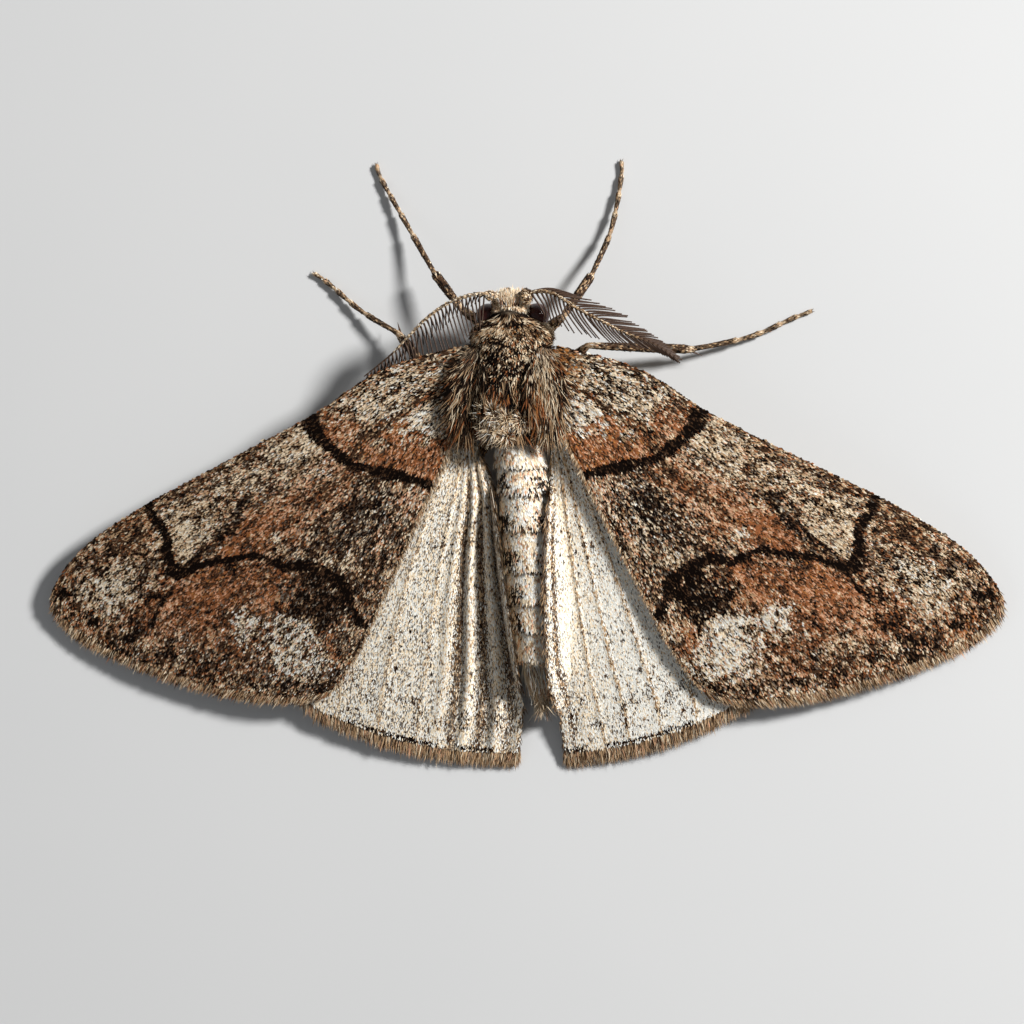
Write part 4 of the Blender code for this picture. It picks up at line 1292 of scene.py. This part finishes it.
def cover(name, finish, slot, kind, count, span, sizes, swing=0.2, parting=0.0, v_span=(0, 1), flare=0.0,
          heading=0.0):
    """A coat over a stretch of the trunk. Where `across` runs from -1 to 1 over its breadth, tufts turn by
    heading + parting·across, are longer by 1 + flare·across², and stand up by the square of that."""
    u, v = spread(trunk_surface, number(count), (trunk_u(span[0]), trunk_u(span[1])), v_span)
    roots = trunk_surface(u, v)
    sizes = [varied(len(u), size, 0.22) for size in sizes]
    middle, _, half_width, _ = trunk_at(roots[:, 1])
    across = np.clip((roots[:, 0] - middle) / half_width, -1, 1)
    turn = heading + parting * across
    sizes[0] *= 1 + flare * across**2
    sizes[2] *= (1 + flare * across**2) ** 2
    shares = trunk_marks(*roots.T)
    cloud = mottle(roots[:, 0], roots[:, 1], 0.15, 8)
    towards = outward(roots)
    coat(name, finish, slot, kind, trunk_surface, u, v, towards, shares, sizes, swing, 0.0, turn, cloud)


def trunk():
    """The trunk: one skin from face to tail, under scales and hair of every part's own kind."""
    points, faces, _, _ = closed_tube(trunk_surface, 260, 72)
    # painted shade on the skin under the thorax's coat, painted light under the head and abdomen
    light = np.interp(points[:, 1], *SKIN_PAINTED_SHADE_AND_LIGHT)[:, None]
    colours = trunk_marks(*points.T) @ PALETTE * light
    faces = outwards(points, faces)
    add_piece("body_skin", points, faces, BODY_SKIN_FINISH, "thorax", TRUNK_NODES, colour=colours)

    cover("abdomen_scales", BODY_SCALES, "abdomen", kites, 16000, (0.9, TRUNK_BACK), (0.22, 0.11, 0.02))
    cover("face_scales", HEAD_FINISH, "head", kites, 2600, (TRUNK_FRONT, 6.56), (0.20, 0.075, 0.06), 0.25)
    cover("crown_hair", HEAD_FINISH, "head", locks, 2600, (6.94, 6.38), (0.37, 0.042, 0.60, 0.30), 0.28, -0.8,
          (0.34, 0.66), heading=math.pi)
    for name, v_span in (("brow_left", (0.58, 0.70)), ("brow_right", (0.33, 0.44))):
        cover(name, HEAD_FINISH, "head", locks, 260, (6.62, 6.44), (0.20, 0.042, 0.55, 0.35), 0.25, 0.9,
              v_span)
    cover("collar_hair", THORAX_FINISH, "thorax", kites, 5200, (6.29, 5.5), (0.34, 0.045, 0.06), 0.2, 1.1,
          flare=0.2)
    cover("collar_scales", THORAX_FINISH, "thorax", kites, 3800, (5.9, 5.2), (0.25, 0.080, 0.06), 0.25, 1.1,
          flare=0.4)
    for name, v_span in (("ruff_left", (0.62, 0.84)), ("ruff_right", (0.16, 0.38))):
        cover(name, THORAX_FINISH, "thorax", kites, 1300, (6.0, 4.5), (0.42, 0.055, 0.13), 0.22, 0.3, v_span)
    cover("thorax_scales", THORAX_FINISH, "thorax", kites, 11000, (5.6, 3.0), (0.26, 0.085, 0.08), 0.3, 1.0,
          flare=0.4)
    cover("thorax_fluff", HAIR_FINISH, "thorax", locks, 1500, (5.0, 2.8), (0.40, 0.055, 0.40, 0.25), 0.35,
          0.9)
    cover("thorax_hair", HAIR_FINISH, "thorax", locks, 5200, (3.7, 1.3), (0.62, 0.055, 0.36, 0.20), 0.3, 0.35)
    cover("tail_hair", HAIR_FINISH, "abdomen", locks, 1300, (-8.2, TRUNK_BACK), (0.95, 0.05, 0.2, 0.1))


def joint_fringes():
    """A fringe of scales at each joint of the abdomen."""
    u, v = [], []
    for at in ABDOMEN_BREAKS:
        count = number(JOINT_FRINGE)
        u.append(trunk_u(at + 0.10 + RNG.random(count) * 0.16))
        v.append(RNG.random(count))
    u, v = np.concatenate(u), np.concatenate(v)
    roots = trunk_surface(u, v)
    sizes = (varied(len(u), 0.28, 0.2), varied(len(u), 0.07, 0.2), varied(len(u), 0.045, 0.4))
    shares = trunk_marks(*roots.T)
    coat("abdomen_fringes", BODY_SCALES, "abdomen", kites, trunk_surface, u, v, outward(roots), shares, sizes)


# Tufts of the crest behind the thorax: (x, y, reach).
CREST_TUFTS = (
    (-0.62, 2.10, 0.55), (-0.50, 1.55, 0.62), (-0.05, 1.85, 0.40), (0.55, 1.80, 0.38), (-0.05, 1.15, 0.42),
)
# Hair-scales in a tuft, and its radius at the root.
CREST_COUNT, CREST_RADIUS = 190, 0.2
CREST_SHADE = mixture(black=0.06, umber=0.13, rust=0.03, tan=0.18, cream=0.44, white=0.16)


def crest():
    """Rosettes of mostly pale hair-scales that stand up and fan out behind the thorax."""
    per_tuft = number(CREST_COUNT)
    centres = np.repeat(np.array(CREST_TUFTS), per_tuft, axis=0)
    count = len(centres)
    angle, far = RNG.random(count) * TAU, np.sqrt(RNG.random(count))
    radial = np.stack([np.cos(angle), np.sin(angle), np.zeros(count)], -1) * far[:, None]
    x, y = (centres[:, :2] + radial[:, :2] * CREST_RADIUS).T
    middle, _, half_width, _ = trunk_at(y, 0.4)
    u, v = trunk_u(y), 0.5 - np.arcsin(np.clip((x - middle) / half_width, -0.98, 0.98)) / TAU
    points = trunk_surface(u, v)
    ahead = unit(radial + np.array((-0.25, -0.30, 0.85)) + RNG.normal(0, 0.12, (count, 3)))
    normals = unit(np.cross(np.cross(ahead, (0.02, 0.03, 1.0)), ahead))
    shares = alike(CREST_SHADE, centres)
    sizes = (centres[:, 2] * RNG.normal(1.25, 0.15, count), varied(count, 0.045, 0.2), 0.05, 0.12)
    grown("crest_tufts", HEAD_FINISH, "thorax", locks, points, ahead, normals, u, v, shares, sizes)


trunk()
joint_fringes()
crest()

# ---------------------------------------------------------------- shoulder flaps

TEGULA = {"middle": (1.62, 3.20), "half_width": 0.85, "half_length": 1.85}
FLAP_SKIN, FLAP_SPAN, FLAP_HAIRS = 0.12, (0.02, 0.98), 3600
# How far the hairs of each flap fan out across it.
FAN = {"left": 0.85, "right": 0.35}


def tegula_surface(side):
    """A leaf draped over the wing's root: u from front to back, v across it. Its breadth follows
    √(1 - (2u - 1)²), an ellipse."""

    def place(u, v):
        bulge = np.sqrt(np.clip(1 - (2 * u - 1) ** 2, 0.02, 1))
        x = TEGULA["middle"][0] + TEGULA["half_width"] * (2 * v - 1) * bulge * 0.9 - 0.15 * (1 - u) ** 2
        y = TEGULA["middle"][1] + TEGULA["half_length"] * (1 - 2 * u) * 0.95
        over_wing = roof(x, y) + SHEET + 0.05
        over_body = trunk_top(x, y, 0.02)
        return np.stack([side * x, y, smooth_max(over_wing, over_body, 0.2) - 0.5 * (1 - u) ** 4], -1)

    return place


def tegula_marks(x, y):
    """Pigment shares of the shoulder flaps: dark in front, greyish tan behind; the right one, where x is
    over 0, has a fair stripe and two rust spots."""
    front = mixture(black=0.50, umber=0.24, rust=0.03, tan=0.11, cream=0.12)
    back = mixture(black=0.24, umber=0.32, rust=0.10, amber=0.02, tan=0.24, cream=0.08)
    fair = mixture(umber=0.10, rust=0.03, tan=0.38, cream=0.44, white=0.05)
    rust = mixture(rust=0.4, amber=0.35, umber=0.15, tan=0.1)
    shares = layered(
        alike(front, x),
        (back, np.clip((3.6 - y) / 1.5, 0, 1)),
        (fair, 0.9 * (x > 0) * spot(x, y, (1.60, 3.4), (0.35, 1.4), 0.1)),
        (rust, 0.9 * (x > 0) * spot(x, y, (2.25, 4.4), (0.45, 0.5))),
        (rust, 0.85 * (x > 0) * spot(x, y, (1.35, 2.75), (0.28, 0.45))),
    )
    return clumped(shares, mottle(x, y, 0.2, 41), 0.6)


def shoulder_flap(side, word):
    """One shoulder flap: a thin skin under hair-scales that lengthen backwards and fan out across it."""
    flap = tegula_surface(side)
    nodes = (f"tegula_{word}",)
    points, faces, _, _ = closed_sheet(flap, 30, 20, FLAP_SKIN, FLAP_SPAN, FLAP_SPAN)
    colours = tegula_marks(*points.T[:2]) @ PALETTE
    add_piece(f"shoulder_{word}_skin", points, faces, BODY_SKIN_FINISH, "thorax", nodes, colour=colours)
    u, v = spread(flap, number(FLAP_HAIRS), (0.0, FLAP_SPAN[1]), (0.0, 1.0))
    roots = flap(u, v)
    lengths = (0.24 + 0.80 * u**1.3) * RNG.normal(1, 0.25, len(u))
    sizes = (lengths, varied(len(u), 0.052, 0.2), varied(len(u), 0.20, 0.4), 0.18 + 0.10 * u)
    fan = side * (FAN[word] * (v - 0.3) + 0.5 * (1 - u) ** 2)
    shares = tegula_marks(*roots.T[:2])
    coat(f"shoulder_{word}_hair", HAIR_FINISH, "thorax", locks, flap, u, v, (0, 0, 1), shares, sizes, 0.25,
         0.04, fan)


for side, word in SIDES:
    shoulder_flap(side, word)

# ---------------------------------------------------------------- legs, with spurs and claws

LEG_SKIN_FINISH = skin_finish("leg_skin", roughness=0.5, darkness=0.75)
LEG_SCALES = scale_finish("leg_scales", roughness=0.5, root_shade=0.75)
HORN = horn_finish("claw_horn", (0.030, 0.014, 0.008), (0.085, 0.045, 0.025))

LEG_SCALE_COUNT = 2600
# Scales grow finer with the leg's radius: (radii, sizes).
LEG_FINENESS = ((0.07, 0.2), (0.6, 1.0))
# Where along the shin a middle and a hind leg has a pair of spurs; a front leg has none.
SPUR_PLACES = {"middle": (0.97,), "hind": (0.97, 0.62)}
SPUR_RADIUS, SPUR_LENGTHS, CLAW_RADIUS = 0.055, (0.75, 0.52), 0.022
# Radius of the skin along each part of a leg: (share of the part, radius).
LEG_PROFILES = {
    "coxa": ((0.0, 0.30), (0.5, 0.27), (0.92, 0.20), (1.0, 0.15)),
    "femur": ((0.0, 0.15), (0.12, 0.20), (0.45, 0.24), (0.85, 0.18), (1.0, 0.13)),
    "tibia": ((0.0, 0.12), (0.12, 0.15), (0.55, 0.19), (0.9, 0.19), (1.0, 0.12)),
    "tarsus": (
        (0.0, 0.09), (0.34, 0.125), (0.37, 0.08), (0.54, 0.12), (0.57, 0.075), (0.71, 0.115),
        (0.74, 0.07), (0.85, 0.11), (0.88, 0.065), (0.98, 0.09), (1.0, 0.05),
    ),
}
# How many neighbours a joint is rounded over.
JOINT_BLUR = 5


def leg_line(joints):
    """(path, radii, part, share): an even path through the joints, rounded a little where it bends, the
    skin's radius along it, and for each point its leg part and the share of that part behind it."""
    spots = np.array(joints, float)
    runs = [spots[0:2], spots[1:3], spots[2:4], smooth_line(spots[3:], 40)]
    points, radii, parts, shares = [], [], [], []
    for part, run in zip(LEG_PARTS, runs):
        length = np.linalg.norm(np.diff(run, axis=0), axis=1).sum()
        share = np.linspace(0, 1, max(8, int(length / 0.05)))
        points.append(along(even_line(run, 60), share))
        radii.append(np.interp(share, *zip(*LEG_PROFILES[part])))
        parts += [part] * len(share)
        shares.append(share)
    points = np.vstack(points)
    ends = JOINT_BLUR // 2
    padded = np.vstack([points[:1]] * ends + [points] + [points[-1:]] * ends)
    points = sum(padded[i : i + len(points)] for i in range(JOINT_BLUR)) / JOINT_BLUR
    return points, np.concatenate(radii), np.array(parts), np.concatenate(shares)


def spike(root, tip, radius, sag=0.0):
    """A tapered, slightly curved spike, closed at both ends."""
    t = np.linspace(0, 1, 9)
    path = np.array(root) + np.outer(t, np.array(tip) - np.array(root))
    path[:, 2] += sag * np.sin(math.pi * t)
    place = tube_surface(path, radius * (1 - 0.9 * t**1.3), (0.13, 0.21, 0.97))
    points, faces, _, _ = closed_tube(place, 9, 8)
    return points, outwards(points, faces)


def nearest_row(u, rows):
    """The row of an evenly spaced path nearest to the share u of its length."""
    return np.clip((u * (rows - 1)).round().astype(int), 0, rows - 1)


def leg(name, joints):
    """One leg: its skin, a coat of scales, two claws at its tip and the spurs of its kind."""
    path, radii, parts, shares = leg_line(joints)
    limb = tube_surface(path, radii, (0.05, 0.03, 1.0))
    points, faces, u, _ = closed_tube(limb, len(path), 16)
    nearest = nearest_row(u, len(path))
    tones = leg_marks(parts[nearest], shares[nearest]) @ PALETTE
    nodes = [f"{name}_{part}" for part in LEG_PARTS]
    add_piece(name + "_skin", points, outwards(points, faces), LEG_SKIN_FINISH, "leg", nodes, colour=tones)

    u, v = spread(limb, number(LEG_SCALE_COUNT), (0.02, 0.992))
    nearest = nearest_row(u, len(path))
    fine = np.interp(radii[nearest], *LEG_FINENESS)
    lengths = 0.20 * fine * RNG.normal(1, 0.15, len(u))
    sizes = (lengths, 0.085 * fine, 0.010 * fine * RNG.normal(1, 0.4, len(u)))
    towards = limb(u, v) - path[nearest]
    mixtures = leg_marks(parts[nearest], shares[nearest])
    coat(name + "_scales", LEG_SCALES, "leg", kites, limb, u, v, towards, mixtures, sizes, 0.2)

    ahead = unit(path[-1] - path[-6])
    beside = unit(np.cross(ahead, (0, 0, 1)))
    tip = path[-1] - ahead * 0.04
    horns = [
        spike(tip, tip + ahead * 0.16 + beside * s * 0.07 - (0, 0, 0.07), CLAW_RADIUS, 0.03) for s in (-1, 1)
    ]
    ankle, knee = np.array(joints[3]), np.array(joints[2])
    shin = unit(ankle - knee)
    out = unit(np.cross(shin, (0, 0, 1)))
    for at in SPUR_PLACES.get(name.split("_")[1], ()):
        base = knee + (ankle - knee) * at
        for s, reach in zip((-1, 1), SPUR_LENGTHS):
            end = base + shin * reach + out * s * 0.26 - (0, 0, 0.10)
            horns.append(spike(base + out * s * 0.06, end, SPUR_RADIUS))
    points, faces = joined(*horns)
    add_piece(name + "_spurs_claws", points, faces, HORN, "leg")


for name, joints in LEGS.items():
    leg(name, joints)

# ---------------------------------------------------------------- feelers, palps and eyes

SHAFT_FINISH = horn_finish("feeler_shaft", (0.030, 0.016, 0.010), (0.12, 0.070, 0.040))
COMB_FINISH = horn_finish("feeler_comb", (0.022, 0.012, 0.008), (0.085, 0.046, 0.028), 0.5)


def batch_tubes(paths, radii, sides=5):
    """(points, faces) of many closed tubes at once: paths as tubes × steps × 3, radii by step."""
    ahead = unit(np.gradient(paths, axis=1))
    beside = unit(np.cross(ahead, np.array((0.11, 0.07, 0.99))))
    above = np.cross(beside, ahead)
    turn = np.arange(sides) * TAU / sides
    ring = np.cos(turn)[:, None] * beside[:, :, None, :] + np.sin(turn)[:, None] * above[:, :, None, :]
    points = paths[:, :, None, :] + radii[None, :, None, None] * ring
    count, steps = paths.shape[:2]
    points = np.concatenate([points.reshape(count, steps * sides, 3), paths[:, :1], paths[:, -1:]], axis=1)
    faces = grid_faces(steps, sides, True)
    around = np.arange(sides)
    after = np.roll(around, -1)
    front, back, last = steps * sides, steps * sides + 1, (steps - 1) * sides
    faces = np.vstack([faces, np.stack([np.full(sides, front), around, after], -1),
                       np.stack([np.full(sides, back), last + after, last + around], -1)])
    return repeated(points, faces)


# Of each row: the lean away from the shaft, the sag, and, at COMB_PLACES along the shaft, how far the tips
# stand off it and how far they run on along it.
COMB_PLACES = (0.08, 0.2, 0.4, 0.6, 0.8, 0.97)
COMBS = {
    "antenna_left": (
        ((0.30, -0.95, -0.10), 0.0, (1.30, 1.75, 1.75, 1.45, 1.10, 0.30), (0.0, 0.15, 0.75, 1.05, 0.8, 0.3)),
        ((0.45, -0.35, -0.90), -0.05, (0.7, 1.1, 1.1, 0.9, 0.7, 0.2), (0.5, 0.8, 0.9, 0.9, 0.8, 0.3)),
    ),
    "antenna_right": (
        ((0.62, 0.70, -0.30), -0.05, (0.22, 0.50, 0.70, 0.42, 0.22, 0.08), (0.9, 1.25, 1.35, 1.2, 0.8, 0.35)),
        ((-0.45, -0.86, -0.25), -0.05, (1.15, 1.05, 0.68, 0.42, 0.22, 0.08), (0.8, 1.2, 1.3, 1.1, 0.8, 0.35)),
    ),
}
TEETH_PER_ROW, BRISTLES_PER_SIDE = 33, 20
TOOTH_STEPS = np.linspace(0, 1, 8)
SHAFT_POINTS, POINTS_BEYOND = 160, 40
SHAFT_SCALE_COUNT, SCAPE_SCALES = 900, 320
BRISTLE_SIZE = (0.065, 0.014)
# The shaft's radius: (shares of its length, radii).
SHAFT_PROFILE = ((0, 0.03, 0.06, 0.09, 0.5, 1.0), (0.14, 0.18, 0.13, 0.075, 0.058, 0.025))
TOOTH_RADII = {"antenna_left": 0.043, "antenna_right": 0.052}
SHAFT_SCALES = {
    "antenna_left": {"umber": 0.12, "grey": 0.12, "tan": 0.36, "cream": 0.30, "white": 0.10},
    "antenna_right": {"black": 0.08, "umber": 0.34, "tan": 0.38, "cream": 0.20},
}
# The round first joint of each feeler: (middle, radius).
SCAPES = {"antenna_left": ((-0.74, 6.98, 3.62), 0.17), "antenna_right": ((0.80, 6.90, 3.56), 0.24)}


def scape(name):
    """The feeler's first joint, a knob under tan scales."""
    centre, radius = SCAPES[name]
    knob = ball_surface(centre, radius)
    points, faces, _, _ = closed_tube(knob, 16, 24)
    add_piece(name + "_scape", points, outwards(points, faces), SHAFT_FINISH, "antenna")
    u, v = spread(knob, number(SCAPE_SCALES), (0.06, 0.94))
    shares = alike(mixture(black=0.10, umber=0.20, tan=0.44, cream=0.26), u)
    sizes = (varied(len(u), 0.15, 0.2), varied(len(u), 0.065, 0.2), varied(len(u), 0.03, 0.3))
    towards = knob(u, v) - np.array(centre)
    coat(name + "_scape_scales", LEG_SCALES, "antenna", kites, knob, u, v, towards, shares, sizes, 0.4)


def comb_paths(shaft, rows):
    """Middle lines of a feeler's teeth, as teeth × steps × 3. At the share t of its own length a tooth
    stands off the shaft by t^0.85 of its reach and has run on along it by t^1.15 of its run."""
    teeth = []
    at = np.linspace(COMB_PLACES[0], COMB_PLACES[-1], TEETH_PER_ROW)
    whole = np.linalg.norm(np.diff(shaft, axis=0), axis=1).sum()
    end = unit(shaft[-1] - shaft[-4])
    beyond = np.arange(1, POINTS_BEYOND + 1)[:, None] * whole / (SHAFT_POINTS - 1) * end
    longer = np.vstack([shaft, shaft[-1] + beyond])
    heading = unit(np.gradient(longer, axis=0))
    for lean, sag, offsets, runs in rows:
        offset = np.interp(at, COMB_PLACES, offsets) * RNG.normal(1, 0.05, len(at))
        run = np.interp(at, COMB_PLACES, runs) * RNG.normal(1, 0.05, len(at))
        spot_along = at[:, None] + (run / whole)[:, None] * TOOTH_STEPS**1.15
        spot_along = spot_along * (SHAFT_POINTS - 1) / (len(longer) - 1)
        follow = along(longer, spot_along)
        ahead = unit(along(heading, spot_along))
        lean = np.array(lean)
        out = unit(lean - (ahead @ lean)[..., None] * ahead)
        path = follow + out * (offset[:, None] * TOOTH_STEPS**0.85)[..., None]
        path[:, :, 2] += sag * (offset + run)[:, None] * TOOTH_STEPS**2
        teeth.append(path)
    return np.concatenate(teeth)


def bristles(name, teeth):
    """Fine bristles along both sides of each tooth, leaning outwards and on towards its tip."""
    along_tooth = np.linspace(0.06, 0.97, BRISTLES_PER_SIDE)
    roots = np.stack([np.interp(along_tooth, TOOTH_STEPS, row) for tooth in teeth for row in tooth.T], 0)
    roots = roots.reshape(len(teeth), 3, -1).transpose(0, 2, 1)
    run = unit(np.gradient(roots, axis=1))
    flank = unit(np.cross(run, np.array((0.0, 0.0, 1.0))))
    hairs = []
    for s in (-1, 1):
        direction = unit(run * 0.85 + flank * s * 0.5 + RNG.normal(0, 0.08, run.shape))
        normal = unit(np.cross(direction, flank * s))
        places = (array.reshape(-1, 3) for array in (roots, direction, normal))
        hairs.append(kites(*places, *BRISTLE_SIZE, 0.0, 0.0))
    points, faces = joined(*hairs)
    add_piece(name, points, faces, COMB_FINISH, "antenna", smooth=False)


def feeler(name, spots):
    """A tapering, beaded shaft under pale scales, with two rows of long teeth fringed with bristles."""
    shaft = smooth_line(spots, SHAFT_POINTS)
    share = np.linspace(0, 1, len(shaft))
    radii = np.interp(share, *SHAFT_PROFILE)
    beads = 1 + 0.10 * np.sin(share * TAU * TEETH_PER_ROW)
    stem = tube_surface(shaft, radii * beads)
    points, faces, _, _ = closed_tube(stem, 2 * SHAFT_POINTS, 12)
    add_piece(name + "_shaft", points, outwards(points, faces), SHAFT_FINISH, "antenna", (name,))
    teeth = comb_paths(shaft, COMBS[name])
    points, faces = batch_tubes(teeth, TOOTH_RADII[name] * (1 - 0.5 * TOOTH_STEPS))
    add_piece(name + "_comb", points, faces, COMB_FINISH, "antenna")
    bristles(name + "_bristles", teeth)
    u, v = spread(stem, number(SHAFT_SCALE_COUNT), (0.0, 0.75), (0.05, 0.45))
    roots = stem(u, v)
    nearest = (u * (len(shaft) - 1)).astype(int)
    shares = alike(mixture(**SHAFT_SCALES[name]), u)
    sizes = (varied(len(u), 0.12, 0.2), varied(len(u), 0.055, 0.2), varied(len(u), 0.008, 0.3))
    coat(name + "_scales", LEG_SCALES, "antenna", kites, stem, u, v, roots - shaft[nearest], shares, sizes)


for name, spots in ANTENNAE.items():
    scape(name)
    feeler(name, spots)

EYE_FINISH = eye_finish()
PALP_LINE = ((0.33, 6.50, 1.40), (0.36, 6.85, 1.28), (0.37, 7.10, 1.42), (0.36, 7.22, 1.62))
PALP_ROWS, PALP_SCALES = 40, 420
PALP_PROFILE = ((0, 0.1, 0.5, 0.9, 1), (0.08, 0.14, 0.17, 0.12, 0.05))
PALP_SKIN_SHADE = mixture(umber=0.4, tan=0.4, cream=0.2)
PALP_SHADE = mixture(black=0.1, umber=0.3, tan=0.35, cream=0.25)


def eye(side, word):
    """One eye: a ball of facets."""
    centre = (side * EYE_CENTRE[0], EYE_CENTRE[1], EYE_CENTRE[2])
    points, faces, _, _ = closed_tube(ball_surface(centre, EYE_RADIUS), 40, 56)
    add_piece(f"eye_{word}_facets", points, outwards(points, faces), EYE_FINISH, "eye", (f"eye_{word}",))


def palp(side, word):
    """One palp: a short bent tube under brown scales."""
    line = smooth_line([(side * x, y, z) for x, y, z in PALP_LINE], PALP_ROWS)
    tube = tube_surface(line, np.interp(np.linspace(0, 1, PALP_ROWS), *PALP_PROFILE))
    points, faces, _, _ = closed_tube(tube, PALP_ROWS, 16)
    faces = outwards(points, faces)
    tones = alike(PALP_SKIN_SHADE @ PALETTE, points)
    add_piece(f"palp_{word}_skin", points, faces, BODY_SKIN_FINISH, "head", (f"palp_{word}",), colour=tones)
    u, v = spread(tube, number(PALP_SCALES))
    shares = alike(PALP_SHADE, u)
    towards = tube(u, v) - line[(u * (PALP_ROWS - 1)).astype(int)]
    sizes = (varied(len(u), 0.20, 0.2), varied(len(u), 0.08, 0.2), varied(len(u), 0.05, 0.3))
    coat(f"palp_{word}_scales", LEG_SCALES, "head", kites, tube, u, v, towards, shares, sizes)


for side, word in SIDES:
    eye(side, word)
    palp(side, word)

# ---------------------------------------------------------------- floor, light and camera

VIEW_TILT = math.radians(10)
VIEW_DISTANCE = 250.0
AIM = (-0.465, -1.958, 0.0)
SENSOR_WIDTH, LENS, CLIP_NEAR, CLIP_FAR = 36.0, 209.7, 0.01, 10.0
FLOOR_REACH, FLOOR_LEVEL, FLOOR_ROWS = 800, -0.01, 9
# Each lamp's place, disk size, power and colour.
LAMPS = {
    "key_light": ((229, 110, 167), 55, 1.66, (1.0, 0.985, 0.96)),
    "fill_light": ((-190, -120, 210), 220, 0.06, (0.97, 0.985, 1.0)),
}
SKY_COLOUR, SKY_STRENGTH = (0.98, 0.99, 1.0, 1.0), 0.17


def pointed(obj, place, target):
    """Puts an object down, in millimetres, looking at a target, its own up turned towards the moth's head."""
    back = Vector(place) - Vector(target)
    right = Vector((0, 1, 0)).cross(back)
    axes = Matrix((right.normalized(), back.cross(right).normalized(), back.normalized())).transposed()
    obj.matrix_world = Matrix.Translation(Vector(place) * MM) @ axes.to_4x4()
    bpy.context.scene.collection.objects.link(obj)


def floor_surface(u, v):
    """A flat square from -FLOOR_REACH to FLOOR_REACH both ways."""
    return np.stack([(2 * u - 1) * FLOOR_REACH, (2 * v - 1) * FLOOR_REACH, u * 0 + FLOOR_LEVEL], -1)


def floor():
    """A wide floor just under the feet, kept out of the model."""
    points, _, _ = grid_of(floor_surface, FLOOR_ROWS, FLOOR_ROWS)
    mesh = bpy.data.meshes.new("floor")
    mesh.from_pydata(points * MM, [], grid_faces(FLOOR_ROWS, FLOOR_ROWS, False).tolist())
    mesh.materials.append(floor_finish())
    ground = bpy.data.objects.new("floor", mesh)
    bpy.context.scene.collection.objects.link(ground)


def lamp(name, place, size, power, colour):
    """A round area light that looks at the moth."""
    light = bpy.data.lights.new(name, "AREA")
    light.shape = "DISK"
    light.size = size * MM
    light.energy = power
    light.color = colour
    pointed(bpy.data.objects.new(name, light), place, (0, 0, 0))


def surroundings():
    """The floor, both lamps, an even sky and a camera that looks straight down but for a small tilt."""
    floor()
    for name, settings in LAMPS.items():
        lamp(name, *settings)
    world = bpy.data.worlds.new("studio")
    world.use_nodes = True
    sky = world.node_tree.nodes["Background"]
    sky.inputs["Color"].default_value = SKY_COLOUR
    sky.inputs["Strength"].default_value = SKY_STRENGTH
    bpy.context.scene.world = world
    bpy.context.scene.view_settings.view_transform = "Standard"
    data = bpy.data.cameras.new("camera")
    data.sensor_width = SENSOR_WIDTH
    data.lens = LENS
    data.clip_start = CLIP_NEAR
    data.clip_end = CLIP_FAR
    camera = bpy.data.objects.new("camera", data)
    back = (math.sin(VIEW_TILT) * VIEW_DISTANCE, 0, math.cos(VIEW_TILT) * VIEW_DISTANCE)
    pointed(camera, [a + b for a, b in zip(AIM, back)], AIM)
    bpy.context.scene.camera = camera


surroundings()
